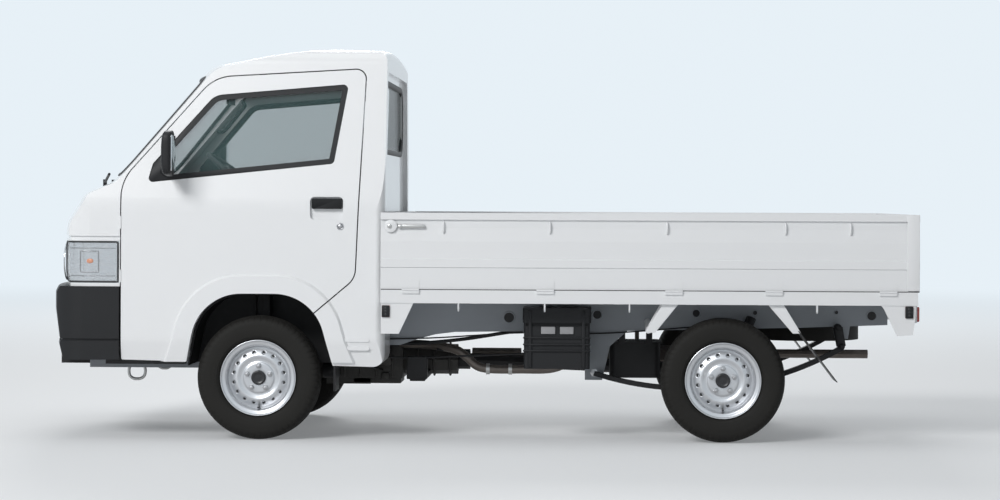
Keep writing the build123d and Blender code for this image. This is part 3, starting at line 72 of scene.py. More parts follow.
def aim_camera():
    """Place the camera with its own -Z along the view: -Y turned a little toward the truck's front."""
    data = bpy.data.cameras.new("camera")
    data.lens = lens_mm
    data.sensor_width = sensor_mm
    data.shift_y = frame_shift_y
    camera = add_to_scene("camera", data)
    look = Vector((math.sin(camera_yaw), -math.cos(camera_yaw), 0))
    turn = look.to_track_quat("-Z", "Y").to_matrix().to_4x4()
    camera.matrix_world = Matrix.Translation(camera_place) @ turn @ Matrix.Rotation(camera_roll, 4, "Z")
    bpy.context.scene.camera = camera


def soft_lamp(name, place, width, depth, power):
    """A rectangular lamp that faces the truck."""
    data = bpy.data.lights.new(name, "AREA")
    data.shape = "RECTANGLE"
    data.size, data.size_y, data.energy = width, depth, power
    lamp = add_to_scene(name, data)
    lamp.location = place
    lamp.rotation_euler = (Vector(lamp_target) - Vector(place)).to_track_quat("-Z", "Y").to_euler()


def set_inputs(node, inputs):
    """Give each input its value, or join it to a socket or to a node's first output."""
    for key, value in inputs.items():
        if isinstance(value, bpy.types.Node):
            value = value.outputs[0]
        if isinstance(value, bpy.types.NodeSocket):
            node.id_data.links.new(value, node.inputs[key])
        else:
            node.inputs[key].default_value = value


def add_node(tree, kind, inputs, **settings):
    """A new shader node with its settings made and its inputs set."""
    node = tree.nodes.new("ShaderNode" + kind)
    for key, value in settings.items():
        setattr(node, key, value)
    set_inputs(node, inputs)
    return node


def seen_rays(tree):
    """1 for the camera's, mirrors' and glass's rays, and 0 for the rays that carry light."""
    path = add_node(tree, "LightPath", {}).outputs
    first = add_node(tree, "Math", {0: path["Is Camera Ray"], 1: path["Is Glossy Ray"]}, operation="MAXIMUM")
    return add_node(tree, "Math", {0: first, 1: path["Is Transmission Ray"]}, operation="MAXIMUM")


def light_world():
    """A pale world that lights at one strength and shows at another to camera, mirror and glass rays."""
    world = bpy.data.worlds.new("sky")
    bpy.context.scene.world = world
    world.use_nodes = True
    tree = world.node_tree
    tree.nodes.clear()
    lit = add_node(tree, "Background", {"Color": sky_lamp_colour, "Strength": sky_light})
    seen = add_node(tree, "Background", {"Color": sky_colour, "Strength": 1.0})
    mix = add_node(tree, "MixShader", {0: seen_rays(tree), 1: lit, 2: seen})
    add_node(tree, "OutputWorld", {"Surface": mix})


def mesh_object(name, points, faces, smooth=True):
    """An object at the origin whose mesh holds the points, in metres, and the faces."""
    mesh = bpy.data.meshes.new(name)
    mesh.from_pydata(np.asarray(points, float).reshape(-1, 3).tolist(), [], [list(f) for f in faces])
    mesh.update()
    if smooth:
        mesh.shade_smooth()
    return add_to_scene(name, mesh)


def grid_faces(rows, columns, wrap_rows=False, wrap_columns=False):
    """Quads of a grid of points stored row by row; a wrapped way joins its last line to its first."""
    i = np.arange(rows if wrap_rows else rows - 1)
    j = np.arange(columns if wrap_columns else columns - 1)
    i, j = np.meshgrid(i, j, indexing="ij")
    i2, j2 = (i + 1) % rows, (j + 1) % columns
    quads = np.stack([i * columns + j, i2 * columns + j, i2 * columns + j2, i * columns + j2], -1)
    return quads.reshape(-1, 4)


def new_material(name, inputs):
    """A material whose main shader has the inputs set, with its node tree and that shader."""
    material = bpy.data.materials.new(name)
    material.use_nodes = True
    shader = material.node_tree.nodes["Principled BSDF"]
    set_inputs(shader, inputs)
    return material, material.node_tree, shader


def object_place(tree):
    """The place on the object, in metres, that every pattern is laid by."""
    return add_node(tree, "TexCoord", {}).outputs["Object"]


def lay_floor():
    """A wide level floor. Part of what the camera sees of it glows, so that it stays pale under the shade,
    and it fades with distance from the truck into the sky's colour."""
    corners = [(x * floor_half, y * floor_half, 0) for x, y in ((-1, -1), (1, -1), (1, 1), (-1, 1))]
    floor = mesh_object("floor", corners, [(0, 1, 2, 3)], smooth=False)
    material, tree, shader = new_material("pale_floor", {"Base Color": floor_colour, "Roughness": 0.7})
    glow = add_node(tree, "Emission", {"Color": floor_glow})
    haze = add_node(tree, "Emission", {"Color": sky_colour})
    seen = seen_rays(tree)
    share = add_node(tree, "Math", {0: seen, 1: floor_glow_share}, operation="MULTIPLY")
    near = add_node(tree, "MixShader", {0: share, 1: shader, 2: glow})
    reach = add_node(tree, "VectorMath", {0: object_place(tree)}, operation="LENGTH").outputs["Value"]
    fade = add_node(tree, "MapRange", {"From Min": haze_start, "From Max": haze_end, "Value": reach},
                    interpolation_type="SMOOTHSTEP")
    far = add_node(tree, "Math", {0: fade, 1: seen}, operation="MULTIPLY")
    whole = add_node(tree, "MixShader", {0: far, 1: near, 2: haze})
    set_inputs(tree.nodes["Material Output"], {"Surface": whole})
    floor.data.materials.append(material)


bpy.context.scene.view_settings.view_transform = "Standard"
aim_camera()
light_world()
lay_floor()
for lamp in soft_lamps:
    soft_lamp(*lamp)

# Paint and plastic. The cab is white baked enamel with a faint orange-peel; the frame is blue-grey
# enamel, the covers are grained black plastic, and rubber, steel and cloth have their own grain.

coat_roughness = 0.06


def mix_colours(tree, share, first, second, blend="MIX"):
    """The socket of a colour that goes from the first to the second by the share."""
    node = add_node(tree, "Mix", {}, data_type="RGBA", blend_type=blend)
    set_inputs(node, {"Factor": share, "A": first, "B": second})
    return node.outputs["Result"]


def finish_material(name, colour, roughness, metallic=0.0, coat=0.0, grain=None, tint=None, bottom_tone=None,
                    gloss=0.5):
    """A material whose grain is (scale per metre, bump height, detail), on Object coordinates. Tint is
    (scale, amount) of slow lightness change; the argument after it, (height, amount, colour), mixes that colour in
    toward the bottom, fading out by the height."""
    base = (*colour, 1)
    material, tree, shader = new_material(name, {
        "Roughness": roughness, "Metallic": metallic, "Specular IOR Level": gloss, "Coat Weight": coat,
        "Coat Roughness": coat_roughness})
    place = object_place(tree)
    if tint:
        slow = add_node(tree, "TexNoise", {"Scale": tint[0], "Detail": 3, "Vector": place})
        ramp = add_node(tree, "MapRange", {"To Min": 1 - tint[1], "To Max": 1 + tint[1], "Value": slow})
        base = mix_colours(tree, 1.0, base, ramp, "MULTIPLY")
    if bottom_tone:
        height = add_node(tree, "SeparateXYZ", {0: place}).outputs["Z"]
        fade = add_node(tree, "MapRange", {"From Min": 0.0, "From Max": bottom_tone[0], "To Min": bottom_tone[1], "To Max": 0.0,
                                           "Value": height})
        base = mix_colours(tree, fade, base, (*bottom_tone[2], 1))
    set_inputs(shader, {"Base Color": base})
    if grain:
        fine = add_node(tree, "TexNoise", {"Scale": grain[0], "Detail": grain[2], "Vector": place})
        bump = add_node(tree, "Bump", {"Strength": 1.0, "Distance": grain[1], "Height": fine})
        set_inputs(shader, {"Normal": bump})
    return material


# Darker towards the bottom: this colour is mixed into the white enamel below half a metre.
bottom_colour = (0.42, 0.40, 0.37)
white_enamel = finish_material("white_enamel", (0.80, 0.81, 0.82), 0.28, coat=0.6,
                               grain=(420, 0.00003, 2), tint=(1.5, 0.012), bottom_tone=(0.5, 0.10, bottom_colour))
bed_enamel = finish_material("bed_enamel", (0.78, 0.79, 0.80), 0.36, coat=0.3,
                             grain=(300, 0.00006, 2), tint=(2.0, 0.015))
frame_enamel = finish_material("frame_enamel", (0.27, 0.29, 0.315), 0.45, grain=(180, 0.0002, 4),
                               tint=(6.0, 0.08))
lamp_chrome = finish_material("lamp_chrome", (0.62, 0.64, 0.66), 0.16, metallic=0.85, grain=(60, 0.0012, 1))
black_cover = finish_material("black_cover", (0.014, 0.0145, 0.016), 0.48, grain=(1400, 0.00016, 3),
                              tint=(5.0, 0.10), gloss=0.25)
under_black = finish_material("under_black", (0.012, 0.012, 0.013), 0.55, grain=(220, 0.0005, 5),
                              tint=(9.0, 0.25), gloss=0.3)
raw_castings = finish_material("raw_castings", (0.055, 0.053, 0.050), 0.55, metallic=0.5,
                               grain=(260, 0.0008, 6), tint=(14.0, 0.3))
pipe_steel = finish_material("pipe_steel", (0.16, 0.14, 0.125), 0.45, metallic=0.8,
                             grain=(160, 0.0003, 5), tint=(10.0, 0.3))
wheel_silver = finish_material("wheel_silver", (0.56, 0.57, 0.59), 0.34, metallic=0.75, coat=0.3,
                               grain=(500, 0.00005, 2), tint=(20.0, 0.05))
tyre_rubber = finish_material("tyre_rubber", (0.0125, 0.0118, 0.0105), 0.70, grain=(700, 0.00018, 4),
                              tint=(9.0, 0.18), gloss=0.22)
cabin_grey = finish_material("cabin_grey", (0.075, 0.077, 0.082), 0.6, grain=(1200, 0.0002, 3))
floor_mat = finish_material("floor_mat", (0.03, 0.03, 0.031), 0.8, grain=(500, 0.0006, 4))
seat_weave = finish_material("seat_weave", (0.085, 0.088, 0.095), 0.85, grain=(1600, 0.0005, 2),
                             tint=(60, 0.12))
tail_red = finish_material("tail_red", (0.42, 0.012, 0.012), 0.12, coat=0.7, grain=(300, 0.0001, 1))


def glass_material(name, tint, clear):
    """Thin coloured glass: a coloured transparent pane under a mirror sheen."""
    return new_material(name, {"Base Color": (*tint, 1), "Roughness": 0.02, "IOR": 1.5, "Alpha": 1 - clear})[0]


window_glass = glass_material("window_glass", (0.09, 0.16, 0.16), 0.76)
lamp_glass = glass_material("lamp_glass", (0.75, 0.78, 0.80), 0.80)


def rubber_below(name, colour, rubber, height, back, front):
    """White enamel that turns to black rubber under a height and between two places along the truck, where
    the mud flaps hang."""
    material = finish_material(name, colour, 0.36, grain=(300, 0.00006, 2), tint=(2.0, 0.015))
    tree = material.node_tree
    shader = tree.nodes["Principled BSDF"]
    split = add_node(tree, "SeparateXYZ", {0: object_place(tree)}).outputs
    share = 1.0
    for axis, kind, limit in (("Z", "LESS_THAN", height), ("X", "GREATER_THAN", back), ("X", "LESS_THAN", front)):
        test = add_node(tree, "Math", {0: split[axis], 1: limit}, operation=kind)
        share = add_node(tree, "Math", {0: share, 1: test}, operation="MULTIPLY")
    painted = shader.inputs["Base Color"].links[0].from_socket
    set_inputs(shader, {"Base Color": mix_colours(tree, share, painted, (*rubber, 1))})
    return material


skirt_enamel = rubber_below("skirt_enamel", (0.78, 0.79, 0.80), (0.013, 0.013, 0.014), 0.575, -1.88, -1.44)
finished_nodes = (
    (white_enamel, "cab_shell door_left door_right"),
    (window_glass, "windscreen rear_window door_glass_left door_glass_right"),
    (black_cover, "door_fittings_left door_fittings_right front_bumper grille wipers battery_box"),
    (lamp_glass, "headlamps"), (lamp_chrome, "lamp_housings"), (floor_mat, "cab_floor"),
    (cabin_grey, "dashboard cab_trim steering_column steering_wheel"),
    (seat_weave, "seat_cushions seat_backs"),
    (under_black, "front_crossmember arch_liners propeller_shaft fuel_tank rear_axle leaf_springs"),
    (under_black, "rear_dampers front_suspension front_subframe tie_rod"),
    (raw_castings, "engine_and_gearbox knuckle_left knuckle_right"),
    (pipe_steel, "exhaust"), (tyre_rubber, "spare_wheel"), (frame_enamel, "side_rails cross_members"),
    (bed_enamel, "deck_floor deck_sills deck_front_wall side_gate_left side_gate_right tailgate"),
    (skirt_enamel, "deck_skirts"), (tail_red, "deck_lamps"),
)
for material, names in finished_nodes:
    for node in names.split():
        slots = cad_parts[node].data.materials
        for index in range(len(slots)):
            slots[index] = material

# The tyres: steel-belted radials with four zigzag grooves and notched shoulders. Each is moulded as
# one piece and fitted over the rim's flanges.

tyre_radius = 0.295
tyre_half_width = 0.0825
bead_radius = 0.1715
groove_places = (-0.036, -0.012, 0.012, 0.036)
groove_depth = 0.007
groove_half_width = 0.0032
zigzag_reach = 0.0028
zigzag_count = 60
notch_depth = 0.0045
notch_count = 60
bead_turn = 0.86
side_power, crown_power = 0.72, 0.55
crown_band = (0.272, 0.284)
shoulder_across, shoulder_rise = (0.050, 0.056), (0.252, 0.262)
side_rings = ((0.222, 0.2235, 0.2265, 0.228), (0.196, 0.1975, 0.1995, 0.201))
ring_height = 0.0012
wheel_places = {
    "front_left": (1.0325, 0.7275, 1), "front_right": (1.0325, -0.7275, -1),
    "rear_left": (-1.1725, 0.7275, 1), "rear_right": (-1.1725, -0.7275, -1),
}
axle_height = 0.295


def smooth_step(low, high, value):
    """0 below low, 1 above high, and a cubic between."""
    share = np.clip((value - low) / (high - low), 0, 1)
    return share * share * (3 - 2 * share)


def tyre_mesh(name, place):
    """Points at angle a and profile share t: the section runs bead to bead round the crown as a
    superellipse, less the grooves, which swing with the angle, and the shoulder notches."""
    x0, y0, _ = place
    turns, steps = 480, 132
    a = np.linspace(0, 2 * np.pi, turns, endpoint=False)[:, None]
    angle = np.linspace(-bead_turn, bead_turn, steps)[None, :] * np.pi
    half = 0.5 * (tyre_radius - bead_radius)
    wide = np.sign(np.sin(angle)) * np.abs(np.sin(angle)) ** side_power * tyre_half_width
    rise = bead_radius + half + half * np.sign(np.cos(angle)) * np.abs(np.cos(angle)) ** crown_power
    rise = np.maximum(rise, bead_radius)
    crown = smooth_step(*crown_band, rise)
    radius = rise + 0 * a
    across = wide + 0 * a
    swing = zigzag_reach * (2 * np.abs((a * zigzag_count / (2 * np.pi)) % 1 * 2 - 1) - 1)
    for groove in groove_places:
        gap = np.abs(across - groove - swing)
        cut = 1 - smooth_step(groove_half_width * 0.7, groove_half_width * 1.3, gap)
        radius = radius - crown * groove_depth * cut
    notch = np.abs((a * notch_count / (2 * np.pi)) % 1 - 0.5)
    shoulder = smooth_step(*shoulder_across, np.abs(across)) * smooth_step(*shoulder_rise, rise)
    radius = radius - notch_depth * shoulder * (1 - smooth_step(0.05, 0.10, notch))
    for start, full, ebb, end in side_rings:
        ring = ring_height * smooth_step(start, full, rise) * (1 - smooth_step(ebb, end, rise))
        across = across + np.sign(across) * ring
    points = np.stack([x0 + radius * np.cos(a), y0 + across, axle_height + radius * np.sin(a)], -1)
    return mesh_object(name, points, grid_faces(turns, steps, wrap_rows=True))


def fit(piece, material, body, slot):
    """Give a piece its finish and the body it rides on; slot is not used."""
    piece.data.materials.clear()
    piece.data.materials.append(material)
    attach(piece, body)
    return piece


for wheel, place in wheel_places.items():
    tyre = fit(tyre_mesh("road_tyre_" + wheel, place), tyre_rubber, "wheel_" + wheel, "tyre_rubber")
    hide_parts("tyre_" + wheel)

# The wheels: a pressed steel disc with sixteen vent holes, welded in a rolled barrel and sprayed
# silver. Five nuts hold it, a bare black cap covers the hub, and the valve stands near the lip.

rim_section = (
    (0.026, 0.044), (0.034, 0.0455), (0.044, 0.0462), (0.068, 0.0455), (0.0725, 0.0438), (0.0745, 0.0405),
    (0.078, 0.0392), (0.088, 0.0405), (0.096, 0.0440), (0.102, 0.0455), (0.107, 0.0448), (0.113, 0.0425),
    (0.1205, 0.0388), (0.128, 0.0345), (0.134, 0.0305), (0.139, 0.0285), (0.1465, 0.0275), (0.1485, 0.0262),
    (0.1495, 0.0290), (0.1503, 0.0400), (0.1515, 0.0520), (0.1545, 0.0580), (0.1575, 0.0612),
    (0.1620, 0.0628), (0.1680, 0.0640), (0.1725, 0.0662), (0.1755, 0.0700), (0.1782, 0.0722),
    (0.1803, 0.0712), (0.1800, 0.0690), (0.1768, 0.0668), (0.1740, 0.0640), (0.1705, 0.0600),
    (0.1690, 0.0300), (0.1690, -0.0600), (0.1740, -0.0660), (0.1775, -0.0700), (0.1765, -0.0715),
    (0.1730, -0.0690), (0.1640, -0.0650), (0.1500, -0.0600), (0.1485, -0.0300), (0.1482, 0.0180),
    (0.1460, 0.0215), (0.1300, 0.0260), (0.1000, 0.0380), (0.0745, 0.0330), (0.0300, 0.0360),
)
face_points = 18
between_points = 4
vent_count = 16
vent_radius = 0.0086
vent_circle = 0.1208
vent_depth = 0.0052
nut_circle = 0.05715
hub_cap_section = ((0.0345, 0.043), (0.0345, 0.0545), (0.0325, 0.0585), (0.0265, 0.0605), (0.0255, 0.0592),
                   (0.0130, 0.0602), (0.0001, 0.0606))
nut_section = ((0.0150, 0.0440), (0.0150, 0.0485), (0.0122, 0.0490), (0.0120, 0.0590), (0.0106, 0.0612),
               (0.0060, 0.0618), (0.0058, 0.0655), (0.0001, 0.0668))
valve_section = ((0.0055, 0.030), (0.0048, 0.046), (0.0042, 0.056), (0.0042, 0.066), (0.0001, 0.067))


def smooth_line(points, between):
    """The points with straight-line in-between ones added, so a fine grid can follow the section."""
    points = np.asarray(points, float)
    share = np.linspace(0, 1, between, endpoint=False)[None, :, None]
    rows = points[:-1, None] * (1 - share) + points[1:, None] * share
    return np.concatenate([rows.reshape(-1, points.shape[1]), points[-1:]])


def wheel_mesh(name, place):
    """The section (out from the axle, outward along it) at every angle, less a round dent at each vent."""
    x0, y0, side = place
    section = smooth_line([*rim_section, rim_section[0]], between_points)[:-1]
    turns = vent_count * 22
    a = np.linspace(0, 2 * np.pi, turns, endpoint=False)[:, None]
    out, along = section[None, :, 0] + 0 * a, section[None, :, 1] + 0 * a
    turn = ((a * vent_count / (2 * np.pi)) % 1 - 0.5) * 2 * np.pi / vent_count
    off = np.hypot(out - vent_circle, turn * vent_circle)
    face = (np.arange(section.shape[0]) < face_points * between_points)[None, :]
    along = along - vent_depth * face * (1 - smooth_step(vent_radius - 0.0012, vent_radius + 0.0008, off))
    points = np.stack([x0 + out * np.cos(a), y0 + side * along, axle_height + out * np.sin(a)], -1)
    faces = grid_faces(turns, section.shape[0], wrap_rows=True, wrap_columns=True)
    return mesh_object(name, points, faces if side > 0 else faces[:, ::-1])


def round_parts(name, place, section, centres, sides, flat=False):
    """The section turned round an axis along Y at each centre (across X, up Z), closed at its last point."""
    x0, y0, side = place
    section = np.asarray(section, float)
    a = np.linspace(0, 2 * np.pi, sides, endpoint=False)[:, None]
    points, faces = [], []
    block = grid_faces(sides, len(section), wrap_rows=True)
    for number, (cx, cz) in enumerate(centres):
        out, along = section[None, :, 0], section[None, :, 1]
        points.append(np.stack([x0 + cx + out * np.cos(a), y0 + side * along + 0 * a,
                                axle_height + cz + out * np.sin(a)], -1).reshape(-1, 3))
        faces.append(block + number * sides * len(section))
    faces = np.concatenate(faces)
    return mesh_object(name, np.concatenate(points), faces if side > 0 else faces[:, ::-1], smooth=not flat)


# Painted shade: these near-black discs stand in for the shaded inside seen through the wheels' vent holes and the
# rails' holes.
hole_shade = finish_material("hole_shade", (0.012, 0.012, 0.013), 0.6, grain=(300, 0.0002, 2))
cap_black = finish_material("cap_black", (0.016, 0.016, 0.018), 0.32, grain=(900, 0.00006, 2))
nut_steel = finish_material("nut_steel", (0.42, 0.42, 0.43), 0.32, metallic=0.9, grain=(700, 0.0001, 2))
vent_floor = 0.0388 - vent_depth + 0.0012
vent_section = ((0.0072, vent_floor), (0.0001, vent_floor + 0.0002))
vent_angles = (np.arange(vent_count) + 0.5) * 2 * np.pi / vent_count
nut_angles = np.pi / 2 + np.arange(5) * 2 * np.pi / 5
vent_centres = [(vent_circle * math.cos(t), vent_circle * math.sin(t)) for t in vent_angles]
nut_centres = [(nut_circle * math.cos(t), nut_circle * math.sin(t)) for t in nut_angles]
# Painted shade: the first row's discs sit in each vent dent and stand in for the shaded inside seen through the hole.
wheel_parts = (  # name, section, centres, sides, flat, material, slot
    ("vents_", vent_section, vent_centres, 20, False, hole_shade, "black_chassis"),
    ("wheel_nuts_", nut_section, nut_centres, 6, True, nut_steel, "bare_metal"),
    ("hub_cap_", hub_cap_section, [(0, 0)], 64, False, cap_black, "black_plastic"),
    ("tyre_valve_", valve_section, [(0.0, -0.1415)], 14, False, cap_black, "black_plastic"),
)
for wheel, place in wheel_places.items():
    rim = fit(wheel_mesh("steel_wheel_" + wheel, place), wheel_silver, "wheel_" + wheel, "wheel_silver")
    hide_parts("rim_" + wheel)
    for name, section, centres, sides, flat, material, slot in wheel_parts:
        fit(round_parts(name + wheel, place, section, centres, sides, flat), material, "wheel_" + wheel, slot)

# The cab's seals: black rubber of a flat section runs round the windscreen and the rear window, and
# grips the edges of the glass and the cab.

# Black rubber for the glass seals and the lamp joints; under the gates the same material is painted shade for the gap.
rubber_and_gap_shade = finish_material("rubber_and_gap_shade", (0.014, 0.014, 0.015), 0.55, grain=(700, 0.0001, 2))
rear_seal_x = 0.4545
rear_seal_half_width = 0.560
rear_seal_low_z = 1.377
rear_seal_high_z = 1.712
rear_seal_corner = 0.085
seal_radius = 0.010
merge_reach = 0.00002


def curve_through(points, between, closed=False):
    """A Catmull-Rom curve: each span's cubic passes through its two points and leans on their neighbours."""
    points = np.asarray(points, float)
    if closed:
        padded = np.concatenate([points[-1:], points, points[:2]])
    else:
        padded = np.concatenate([2 * points[:1] - points[1:2], points, 2 * points[-1:] - points[-2:-1]])
    p0, p1, p2, p3 = (padded[i:len(padded) - 3 + i, None] for i in range(4))
    t = np.linspace(0, 1, between, endpoint=False)[None, :, None]
    line = 0.5 * (2 * p1 + (p2 - p0) * t + (2 * p0 - 5 * p1 + 4 * p2 - p3) * t ** 2
                  + (3 * p1 - p0 - 3 * p2 + p3) * t ** 3)
    line = line.reshape(-1, 3)
    return line if closed else np.concatenate([line, points[-1:]])


def closed_piece(name, points, faces, smooth=True, sharp=40):
    """A mesh whose doubles are merged, open ends filled and faces turned outward."""
    piece = mesh_object(name, points, faces, smooth)
    work = bmesh.new()
    work.from_mesh(piece.data)
    bmesh.ops.remove_doubles(work, verts=work.verts, dist=merge_reach)
    bmesh.ops.holes_fill(work, edges=[e for e in work.edges if e.is_boundary], sides=0)
    bmesh.ops.recalc_face_normals(work, faces=work.faces)
    work.to_mesh(piece.data)
    work.free()
    if smooth:
        piece.data.shade_smooth()
        piece.data.set_sharp_from_angle(angle=math.radians(sharp))
    return piece


def rod_along(name, line, radius, sides=12, closed=False, flat=1.0, up=None):
    """A circle (squashed by flat along the line's own plane) carried along the line, square to it."""
    line = np.asarray(line, float)
    ahead = np.roll(line, -1, 0) - np.roll(line, 1, 0) if closed else np.gradient(line, axis=0)
    ahead /= np.linalg.norm(ahead, axis=1)[:, None]
    if up is None:
        up = np.linalg.svd(line - line.mean(0))[2][-1]
    across = np.cross(ahead, up)
    across /= np.linalg.norm(across, axis=1)[:, None]
    over = np.cross(across, ahead)
    a = np.linspace(0, 2 * np.pi, sides, endpoint=False)[None, :, None]
    ring = across[:, None] * np.cos(a) * flat + over[:, None] * np.sin(a)
    points = line[:, None] + radius * ring
    faces = grid_faces(len(line), sides, wrap_rows=closed, wrap_columns=True)
    return closed_piece(name, points, faces)


def rounded_block(name, low, high, radius, steps=3):
    """A box with round edges: a sphere of the radius, cut in eight and moved out to the corners. The two
    corners may be given either way round."""
    low, high = np.minimum(low, high), np.maximum(low, high)
    half, middle = (high - low) / 2, (high + low) / 2
    rise = np.concatenate([np.linspace(-90, 0, steps + 1), np.linspace(0, 90, steps + 1)])
    rise_side = np.repeat([-1.0, 1.0], steps + 1)
    turn = np.concatenate([np.linspace(q * 90, q * 90 + 90, steps + 1) for q in range(4)])
    x_side, y_side = np.repeat([1.0, -1, -1, 1], steps + 1), np.repeat([1.0, 1, -1, -1], steps + 1)
    v, h = np.radians(rise)[:, None], np.radians(turn)[None, :]
    inner = half - radius
    x = middle[0] + x_side[None] * inner[0] + radius * np.cos(v) * np.cos(h)
    y = middle[1] + y_side[None] * inner[1] + radius * np.cos(v) * np.sin(h)
    z = middle[2] + rise_side[:, None] * inner[2] + radius * np.sin(v) + 0 * h
    points = np.stack([x, y, z], -1)
    return closed_piece(name, points, grid_faces(len(rise), len(turn), wrap_columns=True))


def round_corner_loop(half_width, low_z, high_z, corner, x, bow):
    """A rounded rectangle across the cab at x, which comes forward by bow times the square of its width."""
    a = np.linspace(0, np.pi / 2, 9)
    corners = []
    for cy, cz, turn in ((1, 1, 0), (-1, 1, 1), (-1, -1, 2), (1, -1, 3)):
        y = cy * (half_width - corner) + corner * np.cos(a + turn * np.pi / 2)
        z = np.where(cz > 0, high_z - corner, low_z + corner) + corner * np.sin(a + turn * np.pi / 2)
        corners.append(np.stack([x + bow * y ** 2, y, z], -1))
    loop = np.concatenate(corners)
    gaps = np.roll(loop, -1, 0) - loop
    count = np.maximum(1, np.round(np.linalg.norm(gaps, axis=1) / 0.02).astype(int))
    start = np.repeat(np.arange(len(loop)), count)
    step = np.concatenate([np.arange(c) / c for c in count])[:, None]
    return loop[start] + gaps[start] * step


def fit_rod(name, line, radius, material, body, slot, between=0, **shape):
    """A fitted rod along the line, or along the curve that has so many steps between the line's points."""
    line = curve_through(line, between) if between else line
    return fit(rod_along(name, line, radius, **shape), material, body, slot)


rear_loop = round_corner_loop(rear_seal_half_width, rear_seal_low_z, rear_seal_high_z, rear_seal_corner,
                              rear_seal_x, 0)
fit_rod("rear_window_seal", rear_loop, seal_radius, rubber_and_gap_shade, "root", "black_plastic", closed=True,
        up=(1, 0, 0), flat=1.5)


def outline_of(node, keep):
    """The longest closed edge loop of the node's faces that point the way keep says, as ordered points."""
    work = bmesh.new()
    work.from_mesh(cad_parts[node].data)
    bmesh.ops.remove_doubles(work, verts=work.verts, dist=merge_reach)
    work.normal_update()
    bmesh.ops.delete(work, geom=[f for f in work.faces if not keep(f.normal)], context="FACES")
    edges = [e for e in work.edges if e.is_boundary]
    loops = []
    while edges:
        chain = [edges.pop()]
        last, first = chain[0].verts[1], chain[0].verts[0]
        places = [first.co.copy(), last.co.copy()]
        while last != first:
            found = [e for e in last.link_edges if e.is_boundary and e in edges]
            if not found:
                break
            edges.remove(found[0])
            last = found[0].other_vert(last)
            places.append(last.co.copy())
        loops.append(np.array(places[:-1]))
    work.free()
    return max(loops, key=lambda l: np.linalg.norm(np.diff(l, axis=0), axis=1).sum())


def even_loop(loop, spacing):
    """The closed loop again, at points the spacing apart along it."""
    ring = np.concatenate([loop, loop[:1]])
    run = np.concatenate([[0], np.cumsum(np.linalg.norm(np.diff(ring, axis=0), axis=1))])
    at = np.linspace(0, run[-1], int(run[-1] / spacing), endpoint=False)
    return np.stack([np.interp(at, run, ring[:, i]) for i in range(3)], -1)


screen_loop = even_loop(outline_of("windscreen", lambda n: n.x > 0.2 and n.z > 0.1), 0.02) + (-0.003, 0, -0.002)
fit_rod("windscreen_seal", screen_loop, 0.009, rubber_and_gap_shade, "root", "black_plastic", closed=True,
        up=(0.55, 0, 0.83), flat=1.6)

# The headlamps: a chromed bowl stands behind a clear moulded lens, an amber bulb sits at the outer
# corner, and a thin dark joint separates the lens from the wing.

hands = ((1, "left"), (-1, "right"))
amber_bulb = finish_material("amber_bulb", (0.72, 0.20, 0.03), 0.25, coat=0.5, grain=(200, 0.0001, 1))
chamber_dark = finish_material("chamber_dark", (0.22, 0.23, 0.24), 0.22, metallic=0.8, grain=(90, 0.001, 1))
bulb_place = (1.835, 0.847)
lens_corners = ((1.699, 0.749), (1.699, 0.938), (1.97, 0.938), (1.985, 0.90), (1.985, 0.78), (1.965, 0.749))
chamber_corners = ((1.792, 0.795), (1.792, 0.893), (1.880, 0.893), (1.880, 0.795))
bowl_middle, bowl_radius = (1.980, 0.61, 0.843), 0.090


def dome(name, centre, reach, out, rows=10, sides=28):
    """Half an ellipsoid that bulges along out from its centre, its flat side closed."""
    v = np.linspace(0, np.pi / 2, rows)[:, None]
    h = np.linspace(0, 2 * np.pi, sides, endpoint=False)[None, :]
    out = np.asarray(out, float)
    one = np.cross(out, (0, 0, 1.0)) if abs(out[2]) < 0.9 else np.array([1.0, 0, 0])
    one /= np.linalg.norm(one)
    two = np.cross(out, one)
    flat = reach[0] * np.cos(v)[..., None] * np.cos(h)[..., None] * one
    tall = reach[1] * np.cos(v)[..., None] * np.sin(h)[..., None] * two
    points = np.asarray(centre) + flat + tall + reach[2] * (np.sin(v) + 0 * h)[..., None] * out
    return closed_piece(name, points, grid_faces(rows, sides, wrap_columns=True))


def side_depth(node, x, z, side):
    """Where a level line along Y at x and z first meets the node from its own side."""
    hit, where, _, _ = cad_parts[node].ray_cast(Vector((x, side * 2.0, z)), Vector((0, -side, 0)))
    return where.y if hit else side * 0.79


def on_side(node, spots, side, proud):
    """The spots (along X, up Z) laid on the node's outer side, and moved out by proud."""
    return [(x, side_depth(node, x, z, side) + side * proud, z) for x, z in spots]


def even_spots(corners, spacing):
    """The closed outline through the corners again, at spots the spacing apart."""
    flat = np.array([(x, 0, z) for x, z in corners], float)
    return [(p[0], p[2]) for p in even_loop(flat, spacing)]


def lamp_rod(name, node, spots, side, proud, radius, material, slot="chrome_bowl", **shape):
    """A fitted rod that lies along the spots on the node's outer side."""
    fit_rod(name, on_side(node, spots, side, proud), radius, material, "root", slot, up=(0, 1, 0), **shape)


